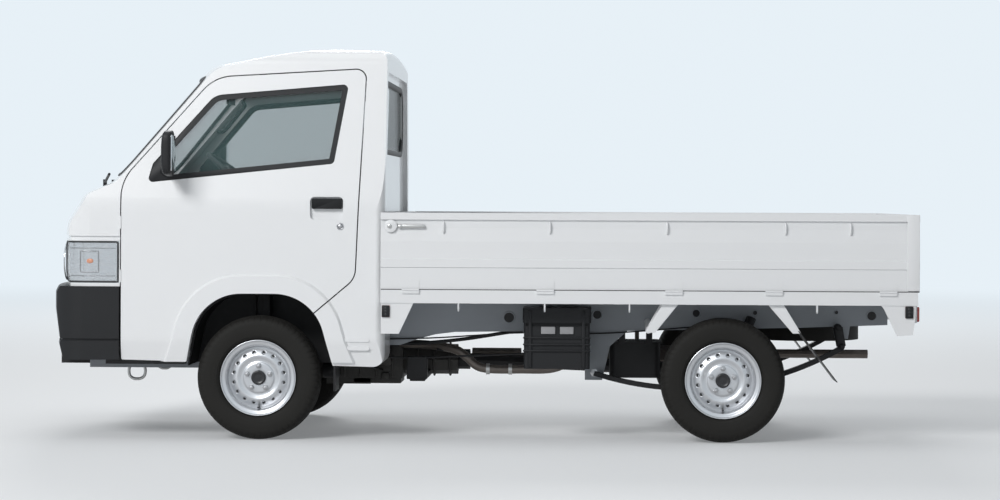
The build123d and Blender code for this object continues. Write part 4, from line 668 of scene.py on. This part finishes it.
for side, hand in hands:
    depth = abs(side_depth("lamp_housings", *bulb_place, side))
    bulb = dome("corner_bulb_" + hand, (bulb_place[0], side * (depth - 0.004), bulb_place[1]),
                (0.019, 0.013, 0.0080), (0.2, side * 0.98, 0))
    fit(bulb, amber_bulb, "root", "tail_lamp")
    lamp_rod("lamp_edge_" + hand, "headlamps", even_spots(lens_corners, 0.012), side, -0.0005, 0.0030,
             rubber_and_gap_shade, "black_plastic", closed=True, flat=1.4)
    lamp_rod("lamp_chamber_" + hand, "lamp_housings", even_spots(chamber_corners, 0.008), side, 0.0, 0.0026,
             chamber_dark, closed=True, flat=1.3)
    for number, z in enumerate((0.777, 0.908)):
        spots = [(x, z) for x in np.linspace(1.712, 1.945, 24)]
        lamp_rod(f"lamp_band_{hand}_{number}", "lamp_housings", spots, side, 0.0, 0.0026, chamber_dark)
    for number, x in enumerate(np.linspace(1.900, 1.944, 5)):
        spots = [(x, z) for z in np.linspace(0.790, 0.898, 12)]
        lamp_rod(f"lamp_flute_{hand}_{number}", "lamp_housings", spots, side, 0.0, 0.0022, lamp_chrome)
    x, y, z = bowl_middle
    bowl = [(x, side * y + bowl_radius * math.cos(t), z + bowl_radius * math.sin(t))
            for t in np.linspace(0, 2 * np.pi, 48, endpoint=False)]
    fit_rod("lamp_bowl_ring_" + hand, bowl, 0.004, lamp_chrome, "root", "chrome_bowl", closed=True, up=(1, 0, 0))

# The door fittings: black moulded window surround, sail panel and pull flap, as in the frame, with the
# mirror in a rounded case on a stubby arm. A steel key barrel sits in the door's skin below the flap.

mirror_low = np.array([1.412, 0.872, 1.252])
mirror_high = np.array([1.470, 1.024, 1.464])
mirror_glass = finish_material("mirror_glass", (0.75, 0.77, 0.79), 0.05, metallic=1.0, grain=(40, 0.00002, 1))
arm_line = ((1.492, 0.780, 1.276), (1.478, 0.835, 1.280), (1.450, 0.880, 1.290))
barrel_section = ((0.0175, -0.002), (0.0172, 0.0020), (0.0150, 0.0032), (0.0118, 0.0030), (0.0112, 0.0016),
                  (0.0095, 0.0030), (0.0001, 0.0034))


def without_parts(node, name, starts, spreads, sharp=None):
    """The node's own faces, doubles merged, less the points where starts holds and those that join them
    along edges while spreads holds."""
    piece = add_to_scene(name, bpy.data.meshes.new(name))
    work = bmesh.new()
    work.from_mesh(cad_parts[node].data)
    bmesh.ops.remove_doubles(work, verts=work.verts, dist=merge_reach)
    front = [v for v in work.verts if starts(v.co)]
    linked = set(front)
    while front:
        vert = front.pop()
        for edge in vert.link_edges:
            other = edge.other_vert(vert)
            if other not in linked and spreads(other.co):
                linked.add(other)
                front.append(other)
    bmesh.ops.delete(work, geom=list(linked), context="VERTS")
    bmesh.ops.holes_fill(work, edges=[e for e in work.edges if e.is_boundary], sides=0)
    work.to_mesh(piece.data)
    work.free()
    if sharp:
        piece.data.shade_smooth()
        piece.data.set_sharp_from_angle(angle=math.radians(sharp))
    return piece


def mirror_case(name, side):
    """A superellipsoid shell, flat at the back where the glass sits and bowed at the front."""
    v = np.linspace(-np.pi / 2, np.pi / 2, 40)[:, None]
    h = np.linspace(0, 2 * np.pi, 72, endpoint=False)[None, :]
    power = lambda w, e: np.sign(w) * np.abs(w) ** e
    a = power(np.cos(v), 0.35) * power(np.cos(h), 0.6)
    b = power(np.cos(v), 0.35) * power(np.sin(h), 0.35)
    c = power(np.sin(v), 0.35) + 0 * h
    middle, half = (mirror_low + mirror_high) / 2, (mirror_high - mirror_low) / 2
    x = middle[0] + half[0] * np.where(a < 0, a * 0.75, a * (1 - 0.25 * c ** 2))
    y = side * (middle[1] + half[1] * b)
    z = middle[2] + half[2] * c * (1 - 0.05 * b)
    return closed_piece(name, np.stack([x, y, z], -1), grid_faces(40, 72, wrap_columns=True), sharp=70)


def fit_block(name, low, high, radius, material, body, slot, steps=3):
    """A fitted rounded block."""
    return fit(rounded_block(name, low, high, radius, steps), material, body, slot)


def fit_turned(name, side, face_y, section, spots, sides, material, body, slot, flat=False):
    """Fitted round parts on a side face of the truck: the section stands out from it at each spot (X, Z)."""
    centres = [(x, z - axle_height) for x, z in spots]
    return fit(round_parts(name, (0, side * face_y, side), section, centres, sides, flat), material, body, slot)


for side, hand in hands:
    door, node = "door_" + hand, "door_fittings_" + hand
    trim = without_parts(node, "window_surround_" + hand, lambda p: abs(p.y) > 0.855, lambda p: abs(p.y) > 0.83, 30)
    fit(trim, black_cover, door, "black_plastic")
    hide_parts(node)
    fit(mirror_case("mirror_case_" + hand, side), black_cover, door, "black_plastic")
    fit_block("mirror_glass_" + hand, (1.4165, side * 0.890, 1.275), (1.4215, side * 1.008, 1.443), 0.002,
              mirror_glass, door, "bare_metal")
    fit_rod("mirror_arm_" + hand, [(x, side * y, z) for x, y, z in arm_line], 0.017, black_cover, door,
            "black_plastic", 8, sides=18, up=(1, 0, 0))
    fit_turned("key_barrel_" + hand, side, abs(side_depth(door, 0.652, 1.030, side)), barrel_section,
               [(0.641, 1.017)], 36, nut_steel, door, "bare_metal")

# The seats: sprung cushions and backs in grey woven cloth over foam, sewn in two channels. Each is a
# crowned closed form whose sides draw in between the corners, and the headrests stand on steel posts.

seat_middle = 0.400
seat_forms = (  # name, side view, half width, softness, crown, channels, CAD node, fill
    ("seat_cushion_", ((0.603, 0.720), (1.145, 0.720), (1.160, 0.836), (0.603, 0.812)), 0.249, 0.30, 0.014,
     (-0.42, 0.42), "seat_cushions", 0.8),
    ("seat_back_", ((0.566, 1.180), (0.612, 0.832), (0.700, 0.838), (0.646, 1.180)), 0.249, 0.32, 0.010,
     (-0.42, 0.42), "seat_backs", 0.8),
    ("headrest_", ((0.546, 1.372), (0.560, 1.195), (0.640, 1.195), (0.628, 1.372)), 0.134, 0.38, 0.008,
     (), "seat_backs", 0.9),
)


def padded_form(name, corners, middle_y, half_width, soft, crown, channels, rows=72, columns=120):
    """A superellipsoid stretched over a side view of four corners (back low, front low, front high,
    back high). Its upper or front face swells by crown in the middle, and narrow channels sink in it."""
    back_low, front_low, front_high, back_high = (np.asarray(c, float) for c in corners)
    v = np.linspace(-np.pi / 2, np.pi / 2, rows)[:, None]
    h = np.linspace(0, 2 * np.pi, columns, endpoint=False)[None, :]
    power = lambda w: np.sign(w) * np.abs(w) ** soft
    a = power(np.cos(v)) * power(np.cos(h))
    b = power(np.cos(v)) * power(np.sin(h))
    c = power(np.sin(v)) + 0 * h
    swell = crown * (1 - a ** 2) * (1 - b ** 2) * smooth_step(0.2, 1.0, c)
    pull = 1 - 0.03 * (1 - b ** 2) * (1 - np.abs(c)) * np.abs(a) ** 8
    groove = sum(np.exp(-((b - place) / 0.022) ** 2) for place in channels)
    weld = np.exp(-((np.abs(c) - 0.80) / 0.04) ** 2) * 0.003
    sink = 0.007 * groove * smooth_step(0.5, 0.95, c) * (1 - smooth_step(0.75, 0.95, np.abs(a)))
    s, t = ((a * pull + 1) / 2)[..., None], ((c + 1) / 2)[..., None]
    side_view = (1 - s) * (1 - t) * back_low + s * (1 - t) * front_low + s * t * front_high + (1 - s) * t * back_high
    up = (front_high + back_high - front_low - back_low)
    up /= np.linalg.norm(up)
    side_view = side_view + (swell - sink)[..., None] * up
    wide = middle_y + half_width * b * (1 - 0.02 * (1 - a ** 2) * (1 - np.abs(c))) - np.sign(b) * weld * np.abs(b) ** 6
    points = np.stack([side_view[..., 0], wide, side_view[..., 1]], -1)
    return closed_piece(name, points, grid_faces(rows, columns, wrap_columns=True), sharp=80)


for side, hand in hands:
    for name, corners, half_width, soft, crown, channels, node, fill in seat_forms:
        form = padded_form(name + hand, corners, seat_middle * side, half_width, soft, crown, channels)
        fit(form, seat_weave, "root", "seat_cloth")
        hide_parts(node)
    for offset in (-0.06, 0.06):
        y = seat_middle * side + offset
        fit_rod(f"headrest_post_{hand}_{'in' if offset * side < 0 else 'out'}",
                [(0.598, y, 1.150), (0.596, y, 1.220)], 0.006, nut_steel, "root", "bare_metal")

# The steering wheel: foamed grey rim on a steel ring, with three spokes and a bare pad. It turns on
# the column in front of the right-hand seat.

wheel_middle = np.array([1.299, -0.400, 1.271])
wheel_tilt = math.radians(54)
wheel_axis = np.array([-math.cos(wheel_tilt), 0, math.sin(wheel_tilt)])
wheel_up = np.array([math.sin(wheel_tilt), 0, math.cos(wheel_tilt)])
wheel_side = np.array([0, 1.0, 0])
ring_radius = 0.177
wheel_finish = (cabin_grey, "steering_wheel", "grey_trim")
t = np.linspace(0, 2 * np.pi, 120, endpoint=False)[:, None]
ring = wheel_middle + ring_radius * (np.cos(t) * wheel_up + np.sin(t) * wheel_side)
grip = fit_rod("steering_ring", ring, 0.0125, *wheel_finish, sides=20, closed=True, up=wheel_axis)
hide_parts("steering_wheel")
fit(dome("steering_pad", wheel_middle - 0.030 * wheel_axis, (0.070, 0.058, 0.040), wheel_axis, 14, 40), *wheel_finish)
for number, turn in enumerate((90, 210, 330)):
    angle = math.radians(turn) + math.pi / 2
    aim = math.cos(angle) * wheel_up + math.sin(angle) * wheel_side
    line = [wheel_middle - sink * wheel_axis + out * aim
            for sink, out in ((0.020, 0.03), (0.016, 0.10), (0.003, ring_radius))]
    fit_rod(f"steering_spoke_{number}", line, 0.009, *wheel_finish, 8, sides=14, flat=2.0, up=wheel_axis)

# Cabin details: a cloth headlining under the roof, and a binnacle moulded on the dashboard over the
# steering column.

headlining = finish_material("headlining", (0.055, 0.057, 0.058), 0.9, grain=(900, 0.0003, 2))
fit_block("headlining_panel", (0.56, -0.58, 1.770), (1.13, 0.58, 1.780), 0.004, headlining, "root", "seat_cloth")
fit_block("dial_binnacle", (1.575, -0.56, 1.196), (1.70, -0.24, 1.262), 0.028, cabin_grey, "root", "grey_trim", 5)

# The drop sides: pressed steel gates with U-shaped rope hooks welded under the top rail, plus a
# lever latch and its striker plate at the front corner. They swing on barrel hinges at the sill.

zinc_steel = finish_material("zinc_steel", (0.50, 0.50, 0.49), 0.35, metallic=0.8, grain=(600, 0.0001, 3))
gate_y = 0.870
hook_radius = 0.0042
gate_hook_line = ((-0.014, 1.041), (-0.001, 1.035), (0.002, 1.014), (-0.001, 0.993), (-0.014, 0.987))  # out, Z
tail_hook_line = ((-2.076, 1.040), (-2.086, 1.034), (-2.0885, 1.013), (-2.086, 0.992), (-2.076, 0.986))  # X, Z
plate_section = ((0.030, -0.002), (0.030, 0.0012), (0.028, 0.0022), (0.0001, 0.0026))
knob_section = ((0.011, 0.0), (0.011, 0.006), (0.009, 0.0075), (0.0001, 0.008))
for side, hand in hands:
    gate = "side_gate_" + hand
    for number, x in enumerate((0.149, -0.354, -0.905, -1.460, -1.764)):
        fit_rod(f"rope_hook_{hand}_{number}", [(x, side * (gate_y + out), z) for out, z in gate_hook_line],
                hook_radius, bed_enamel, gate, "white_bed_paint", 5)
    fit_block("latch_lever_" + hand, (0.236, side * 0.866, 1.011), (0.352, side * 0.876, 1.028), 0.0045,
              zinc_steel, gate, "bare_metal")
    fit(dome("latch_grip_" + hand, (0.352, side * 0.872, 1.019), (0.015, 0.010, 0.007), (0, side, 0)),
        zinc_steel, gate, "bare_metal")
    fit_turned("latch_plate_" + hand, side, gate_y, plate_section, [(0.398, 1.020)], 40, bed_enamel, gate,
               "white_bed_paint")
    fit_turned("latch_knob_" + hand, side, gate_y, knob_section, [(0.404, 1.020)], 24, zinc_steel, gate, "bare_metal")
for side, hand in hands:
    fit_block("tail_latch_" + hand, (-2.088, side * 0.60, 1.010), (-2.079, side * 0.72, 1.028), 0.004,
              zinc_steel, "tailgate", "bare_metal")
    fit(dome("tail_latch_grip_" + hand, (-2.083, side * 0.60, 1.019), (0.016, 0.011, 0.007), (-1.0, 0, 0)),
        zinc_steel, "tailgate", "bare_metal")
for number, y in enumerate((-0.42, 0, 0.42)):
    fit_rod(f"tail_rope_hook_{number}", [(x, y, z) for x, z in tail_hook_line], hook_radius, bed_enamel,
            "tailgate", "white_bed_paint", 5)

# The sills: rope hooks of round bar, bent to a U, are welded below each side sill for the ropes that
# hold a load down.

sill_hook_line = ((0.842, 0.660), (0.843, 0.632), (0.853, 0.621), (0.864, 0.632), (0.865, 0.660))  # Y, Z
for side, hand in hands:
    for number, x in enumerate((0.077, -0.330, -0.729, -1.609)):
        fit_rod(f"sill_hook_{hand}_{number}", [(x, side * y, z) for y, z in sill_hook_line], hook_radius,
                bed_enamel, "root", "white_bed_paint", 6)

# The frame rails: pressed channels in blue-grey enamel, pierced with ringed holes. Brake and fuel pipes
# and a wiring sleeve run along the left rail.

rail_face_y = 0.450
rail_holes = ((-0.149, 0.574, 0.024, 0.032), (-0.577, 0.590, 0.020, 0.027), (-1.057, 0.600, 0.017, 0.024),
              (-1.341, 0.604, 0.010, 0.016), (-1.904, 0.592, 0.021, 0.028), (-1.734, 0.608, 0.008, 0.013))
for side, hand in hands:
    for number, (x, z, hole, ring) in enumerate(rail_holes):
        lip = ((ring, -0.001), (ring - 0.001, 0.0022), (hole + 0.001, 0.0032), (hole, 0.0016))
        fit_turned(f"rail_ring_{hand}_{number}", side, rail_face_y, lip, [(x, z)], 36, frame_enamel, "root",
                   "rail_paint")
        # Painted shade: a near-black disc inside each ring stands in for the shaded inside of the channel seen through
        # the hole.
        fit_turned(f"rail_hole_shade_{hand}_{number}", side, rail_face_y, ((hole + 0.0005, 0.0010), (0.0001, 0.0012)),
                   [(x, z)], 36, hole_shade, "root", "black_chassis")
pipe_runs = (  # name, radius, points
    ("brake_pipe", 0.0035, ((1.60, 0.462, 0.44), (1.35, 0.460, 0.50), (0.90, 0.458, 0.47), (0.30, 0.458, 0.47),
                            (-0.20, 0.458, 0.50), (-0.60, 0.458, 0.50), (-1.00, 0.458, 0.53), (-1.30, 0.458, 0.56))),
    ("fuel_pipe", 0.0050, ((0.85, 0.400, 0.40), (0.40, 0.420, 0.375), (0.05, 0.430, 0.385), (-0.25, 0.425, 0.40),
                           (-0.60, 0.405, 0.42))),
    ("wire_sleeve", 0.0090, ((0.55, 0.330, 0.46), (0.35, 0.345, 0.44), (0.10, 0.360, 0.46), (-0.15, 0.380, 0.50),
                             (-0.35, 0.420, 0.53))),
)
for name, radius, run in pipe_runs:
    fit_rod(name, run, radius, under_black, "root", "black_chassis", 10)

# The battery box: a ribbed black moulding bolted to the left rail. A slot under its lid shows the
# grey ends of the battery's two straps.

strap_grey = finish_material("strap_grey", (0.30, 0.30, 0.31), 0.6, grain=(800, 0.0002, 2))
cover_finish = (black_cover, "root", "black_plastic")
for number, (back, front) in enumerate(((-0.465, -0.400), (-0.378, -0.310))):
    fit_block(f"battery_strap_{number}", (back, 0.7255, 0.508), (front, 0.7335, 0.543), 0.003, strap_grey, "root",
              "grey_trim")
for number, z in enumerate((0.428, 0.458, 0.490)):
    fit_block(f"battery_box_rib_{number}", (-0.546, 0.726, z - 0.004), (-0.224, 0.7345, z + 0.004), 0.0028,
              *cover_finish)
for number, x in enumerate((-0.512, -0.258)):
    fit_block(f"battery_box_post_{number}", (x - 0.008, 0.726, 0.350), (x + 0.008, 0.7335, 0.620), 0.0028,
              *cover_finish)

# The drivetrain under the bed: ribs and a bell flange are cast on the gearbox and rings on its tail
# housing. Rubber hoses, a clutch cable and the shift rod run beside them.

cast_finish = (raw_castings, "root", "bare_metal")
for number, x in enumerate((0.44, 0.52, 0.60, 0.68, 0.76, 0.84)):
    fit_block(f"gearbox_rib_{number}", (x - 0.006, -0.158, 0.262), (x + 0.006, 0.158, 0.486), 0.003, *cast_finish)
for number, x in enumerate((0.925, 0.952)):
    fit_block(f"bell_flange_{number}", (x - 0.007, -0.235, 0.232), (x + 0.007, 0.235, 0.560), 0.004, *cast_finish)
for number, x in enumerate((0.16, 0.24, 0.32)):
    t = np.linspace(0, 2 * np.pi, 40, endpoint=False)
    ring = np.stack([x + 0 * t, 0.080 * np.cos(t), 0.345 + 0.080 * np.sin(t)], -1)
    fit_rod(f"tail_housing_rib_{number}", ring, 0.0055, *cast_finish, closed=True, up=(1, 0, 0))
hose_runs = (  # name, radius, points
    ("breather_hose", 0.008, ((0.86, 0.16, 0.47), (0.80, 0.21, 0.53), (0.66, 0.24, 0.55), (0.52, 0.22, 0.51),
                              (0.46, 0.17, 0.46))),
    ("clutch_cable", 0.006, ((0.94, 0.24, 0.50), (0.83, 0.28, 0.44), (0.66, 0.29, 0.37), (0.54, 0.25, 0.32),
                             (0.49, 0.17, 0.30))),
    ("heater_hose", 0.014, ((0.97, 0.27, 0.58), (0.86, 0.31, 0.56), (0.74, 0.33, 0.50), (0.60, 0.34, 0.47),
                            (0.46, 0.34, 0.50))),
    ("shift_rod", 0.007, ((0.20, 0.10, 0.42), (0.42, 0.19, 0.43), (0.70, 0.20, 0.43), (0.90, 0.26, 0.45))),
)
for name, radius, run in hose_runs:
    fit_rod(name, run, radius, under_black, "root", "black_chassis", 10, sides=14)

# The corner markers: small black moulded boxes with three round studs, screwed to the skirts at both
# ends of the bed.

marker_cases = (("front", 0.401, 0.439, 0.590, 0.646), ("rear", -2.057, -2.019, 0.598, 0.654))
for side, hand in hands:
    for end, back, front, low, high in marker_cases:
        fit_block(f"marker_case_{end}_{hand}", (back, side * 0.8655, low), (front, side * 0.8755, high), 0.004,
                  *cover_finish)
        for number, rise in enumerate((0.25, 0.5, 0.75)):
            middle = ((back + front) / 2, side * 0.8753, low + rise * (high - low))
            fit(dome(f"marker_stud_{end}_{hand}_{number}", middle, (0.006, 0.006, 0.0025), (0, side, 0)),
                cap_black, "root", "black_plastic")

# The lamps at the tail: each red lens carries an amber and a clear field, parted by thin black bars.
# All are moulded in one with the lens.

clear_field = finish_material("clear_field", (0.80, 0.80, 0.78), 0.14, coat=0.6, grain=(260, 0.0002, 1))
lamp_fields = (("turn_field", 0.742, 0.812, amber_bulb), ("reverse_field", 0.603, 0.660, clear_field))
for side, hand in hands:
    for name, inner, outer, material in lamp_fields:
        fit_block(f"{name}_{hand}", (-2.0925, side * inner, 0.583), (-2.086, side * outer, 0.647), 0.0025,
                  material, "root", "tail_lamp")
    for number, y in enumerate((0.664, 0.738)):
        fit_block(f"lamp_bar_{hand}_{number}", (-2.0932, side * (y - 0.002), 0.582),
                  (-2.087, side * (y + 0.002), 0.648), 0.0012, *cover_finish)

# The spare wheel: the same steel wheel and tyre, carried face down under the deck's tail. Its rim
# shows as a shallow silver dish.

spare_x = -1.600
spare_section = np.array([(0.190, 0.4575), (0.176, 0.4560), (0.168, 0.4595), (0.160, 0.4680), (0.150, 0.4690),
                          (0.120, 0.4600), (0.060, 0.4590), (0.030, 0.4595), (0.0001, 0.4595)])
t = np.linspace(0, 2 * np.pi, 96, endpoint=False)[:, None]
out, up = spare_section[None, :, 0], spare_section[None, :, 1]
points = np.stack([spare_x + out * np.cos(t), out * np.sin(t), up + 0 * t], -1)
fit(mesh_object("spare_rim", points, grid_faces(96, len(spare_section), wrap_rows=True)), wheel_silver, "root",
    "wheel_silver")

# The tow loops and front strip: the CAD strip and horns stay, and a loop of round steel bar hangs
# below each rail, bent in one piece and welded at its ends.

loop_y = 0.425
loop_line = ((1.709, 0.334), (1.7125, 0.300), (1.707, 0.277), (1.690, 0.2645), (1.6725, 0.2625), (1.655, 0.2645),
             (1.638, 0.277), (1.6325, 0.300), (1.636, 0.334))  # X, Z
strip = without_parts("front_crossmember", "front_strip", lambda p: p.z < 0.272,
                      lambda p: p.z < 0.342 and abs(p.y) < 0.45)
fit(strip, under_black, "root", "black_chassis")
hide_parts("front_crossmember")
for side, hand in hands:
    fit_rod("tow_loop_" + hand, [(x, side * loop_y, z) for x, z in loop_line], 0.0072, zinc_steel, "root",
            "black_chassis", 8, sides=16)

# The grips on the windscreen pillars: soft black handles, each held by two feet, for climbing in
# over the front wheel.

grip_line = ((1.425, 0.640, 1.497), (1.392, 0.612, 1.503), (1.345, 0.596, 1.553), (1.305, 0.590, 1.602),
             (1.283, 0.600, 1.634), (1.296, 0.622, 1.655))
for side, hand in hands:
    fit_rod("pillar_grip_" + hand, [(x, side * y, z) for x, y, z in grip_line], 0.0105, black_cover, "root",
            "grey_trim", 8, sides=14)

# The gate corners: a pressed steel cap closes each side gate's rear end. It is spot-welded on and
# shows as a second plate.

for side, hand in hands:
    fit_block("gate_corner_" + hand, (-2.086, side * 0.868, 0.726), (-2.028, side * 0.8725, 1.081), 0.002,
              bed_enamel, "side_gate_" + hand, "white_bed_paint")

# Beside the gearbox: a starter in its bracket, a filter, the rear mounting beam and a shift bracket. A
# steel branch pipe runs back behind the battery box and crosses over the shaft to the exhaust.


def turned_along_x(name, section, y, z, sides=40):
    """The section (along X, out from the axis) turned round a level line along the truck."""
    section = np.asarray(section, float)
    a = np.linspace(0, 2 * np.pi, sides, endpoint=False)[:, None]
    points = np.stack([section[None, :, 0] + 0 * a, y + section[None, :, 1] * np.cos(a),
                       z + section[None, :, 1] * np.sin(a)], -1)
    return closed_piece(name, points, grid_faces(sides, len(section), wrap_rows=True))


starter_section = ((0.440, 0.012), (0.440, 0.034), (0.448, 0.040), (0.520, 0.040), (0.524, 0.046), (0.600, 0.046),
                   (0.608, 0.040), (0.640, 0.028), (0.640, 0.010))
filter_section = ((0.700, 0.010), (0.700, 0.036), (0.706, 0.041), (0.775, 0.041), (0.782, 0.036), (0.782, 0.010))
fit(turned_along_x("starter_motor", starter_section, 0.222, 0.365), *cast_finish)
fit(turned_along_x("oil_filter", filter_section, 0.186, 0.300), under_black, "root", "bare_metal")
plates = (  # name, low corner, high corner, material
    ("starter_bracket", (0.500, 0.140, 0.330), (0.522, 0.210, 0.400), raw_castings),
    ("mount_beam", (0.262, -0.398, 0.258), (0.338, 0.398, 0.292), under_black),
    ("mount_beam_lip", (0.255, -0.398, 0.285), (0.345, 0.398, 0.295), under_black),
    ("mount_pad", (0.268, -0.070, 0.262), (0.332, 0.070, 0.300), under_black),
    ("shift_bracket", (0.165, 0.050, 0.398), (0.215, 0.250, 0.412), under_black),
    ("sump_rib", (0.400, -0.120, 0.228), (0.640, 0.120, 0.262), raw_castings),
    ("drain_boss", (0.455, 0.118, 0.250), (0.495, 0.168, 0.285), raw_castings),
    ("cable_bracket", (0.690, 0.140, 0.400), (0.705, 0.262, 0.455), under_black),
    ("mount_beam_foot", (0.250, 0.360, 0.270), (0.350, 0.440, 0.380), under_black),
    ("mount_beam_foot_right", (0.250, -0.440, 0.270), (0.350, -0.360, 0.380), under_black),
)
for name, low, high, material in plates:
    fit_block(name, low, high, 0.005, material, "root", "bare_metal")
branch = ((0.400, 0.150, 0.430), (0.240, 0.215, 0.425), (0.120, 0.255, 0.405), (0.060, 0.270, 0.365),
          (0.010, 0.275, 0.325), (-0.060, 0.275, 0.312), (-0.200, 0.275, 0.312), (-0.360, 0.275, 0.318),
          (-0.470, 0.240, 0.370), (-0.530, 0.130, 0.432), (-0.550, 0.000, 0.446), (-0.555, -0.120, 0.425),
          (-0.560, -0.200, 0.375), (-0.565, -0.225, 0.338))
fit_rod("branch_pipe", branch, 0.0215, pipe_steel, "root", "exhaust_metal", 10, sides=24, up=(0.05, 0.25, 0.97))
for number, x in enumerate((-0.040, -0.150)):
    clamp = ((x - 0.009, 0.018), (x - 0.009, 0.0265), (x + 0.009, 0.0265), (x + 0.009, 0.018))
    fit(turned_along_x(f"pipe_clamp_{number}", clamp, 0.275, 0.312), zinc_steel, "root", "exhaust_metal")

# The spring ends: a bolt head at each front eye, and a shackle of two steel plates at each rear eye,
# held by two bolts.

eye_bolt_section = ((0.020, -0.004), (0.020, 0.004), (0.014, 0.005), (0.0135, 0.014), (0.0001, 0.0155))
shackle_bolt_section = ((0.016, -0.066), (0.016, 0.003), (0.012, 0.004), (0.0115, 0.012), (0.0001, 0.0130))
shackle_line = ((-1.7545, 0.446), (-1.7460, 0.492), (-1.7380, 0.538))  # X, Z
for side, hand in hands:
    fit_turned("spring_bolt_" + hand, side, 0.450, eye_bolt_section, [(-0.563, 0.308)], 6, nut_steel, "root",
               "black_chassis", flat=True)
    for number, depth in enumerate((0.4535, 0.5140)):
        fit_rod(f"shackle_{hand}_{number}", [(x, side * depth, z) for x, z in shackle_line], 0.0045, under_black,
                "root", "black_chassis", 5, flat=4.6, up=(0, 1, 0), sides=20)
    fit_turned("shackle_bolts_" + hand, side, 0.516, shackle_bolt_section, [shackle_line[0], shackle_line[-1]], 20,
               under_black, "root", "black_chassis")

# The wheel guards' stays: a flat pressed plate leans down from each sill before and behind the rear
# wheel, and covers the round brace behind it. A thin black strip along each gate's foot is painted shade: it
# stands in for the shaded gap between the gate and the sill.

stay_high_z, stay_low_z = 0.657, 0.523
stay_depths = (0.852, 0.847)
stay_edges = (("front", -0.884, -0.958, -0.806, -0.850), ("rear", -1.380, -1.454, -1.496, -1.536))
stay_faces = [(0, 1, 2, 3), (7, 6, 5, 4), (0, 4, 5, 1), (1, 5, 6, 2), (2, 6, 7, 3), (3, 7, 4, 0)]
for side, hand in hands:
    for end, top_front, top_back, low_front, low_back in stay_edges:
        outline = ((top_front, stay_high_z), (top_back, stay_high_z), (low_back, stay_low_z), (low_front, stay_low_z))
        points = [(x, side * y, z) for y in stay_depths for x, z in outline]
        plate = closed_piece(f"guard_stay_{end}_{hand}", points, stay_faces, sharp=30)
        soften = plate.modifiers.new("edge", "BEVEL")
        soften.width = 0.0015
        soften.segments = 2
        fit(plate, bed_enamel, "root", "white_bed_paint")
    # Painted shade: a black strip stands in for the shaded gap between the gate and the sill.
    fit_block("gate_gap_shade_" + hand, (-2.086, side * 0.8660, 0.7195), (0.444, side * 0.8712, 0.7232), 0.0015,
              rubber_and_gap_shade, "root", "black_plastic")

# The door cards: grained grey boards clipped inside each door, with a cloth pad, an armrest, a pocket
# and a winder for the window. They swing with the door.

door_boards = (  # name, ends in X, ends inward from the door's inner face, ends in Z, radius, material
    ("door_card", (0.700, 1.480), (0.0, 0.009), (0.700, 1.160), 0.004, cabin_grey),
    ("door_card_pad", (0.760, 1.420), (0.006, 0.014), (0.985, 1.120), 0.0035, seat_weave),
    ("armrest", (0.800, 1.120), (0.005, 0.046), (0.905, 0.945), 0.014, cabin_grey),
    ("door_pocket", (0.900, 1.400), (0.005, 0.034), (0.715, 0.800), 0.010, cabin_grey),
)
winder_line = ((1.230, 0.010, 0.900), (1.230, 0.030, 0.900), (1.215, 0.036, 0.880), (1.180, 0.036, 0.835))
deepest_face = 0.800


def inner_depth(node, x, z, side):
    """Where a level line along Y from the cab's middle first meets the node on that side."""
    hit, where, _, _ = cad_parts[node].ray_cast(Vector((x, side * 0.2, z)), Vector((0, side, 0)))
    return abs(where.y) if hit else 0.79


for side, hand in hands:
    door = "door_" + hand
    spots = [(x, z) for x in (0.80, 1.10, 1.40) for z in (0.72, 0.95, 1.12)]
    face = min(deepest_face, *(inner_depth(door, x, z, side) for x, z in spots))
    for name, x_ends, depth_ends, z_ends, radius, material in door_boards:
        low, high = ((x, side * (face - depth), z) for x, depth, z in zip(x_ends, depth_ends, z_ends))
        fit_block(f"{name}_{hand}", low, high, radius, material, door, "grey_trim")
    winder = [(x, side * (face - depth), z) for x, depth, z in winder_line]
    fit_rod("window_winder_" + hand, winder, 0.0065, nut_steel, door, "bare_metal", 6)
    fit(dome("winder_knob_" + hand, winder[-1], (0.013, 0.013, 0.018), (0, -side, 0)), cap_black, door, "grey_trim")

# The dashboard's fittings: four round vents, a radio blank and a glovebox lid stand on its face toward
# the seats. Each is placed where a level line from the seats meets the moulding.

vent_z = 1.13
vent_ring = ((0.010, 0.040), (-0.006, 0.040), (-0.010, 0.036), (-0.006, 0.031), (-0.001, 0.030), (-0.001, 0.001))
slat_reach = 0.029
dash_lids = (  # name, ends in Y, ends in Z, material
    ("radio_blank", (-0.095, 0.095), (1.010, 1.062), cap_black),
    ("heater_panel", (-0.095, 0.095), (0.945, 0.995), cap_black),
    ("glovebox_lid", (0.200, 0.560), (0.960, 1.070), cabin_grey),
)


def dash_face(y, z):
    """How far forward the dashboard's face stands at that place."""
    hit, where, _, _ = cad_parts["dashboard"].ray_cast(Vector((1.30, y, z)), Vector((1, 0, 0)))
    return where.x if hit else 1.62


for number, y in enumerate((-0.66, -0.12, 0.12, 0.66)):
    x = dash_face(y, vent_z)
    section = [(x + along, out) for along, out in vent_ring]
    fit(turned_along_x(f"dash_vent_{number}", section, y, vent_z), cap_black, "root", "grey_trim")
    for row, lift in enumerate((-0.016, 0.0, 0.016)):
        reach = math.sqrt(slat_reach ** 2 - lift ** 2)
        fit_block(f"vent_slat_{number}_{row}", (x - 0.006, y - reach, 1.128 + lift),
                  (x - 0.001, y + reach, 1.132 + lift), 0.0015, cabin_grey, "root", "grey_trim")
for name, y_ends, z_ends, material in dash_lids:
    x = min(dash_face(sum(y_ends) / 2, z) for z in (*z_ends, sum(z_ends) / 2))
    fit_block(name, (x - 0.006, y_ends[0], z_ends[0]), (x + 0.010, y_ends[1], z_ends[1]), 0.0045, material, "root",
              "grey_trim")
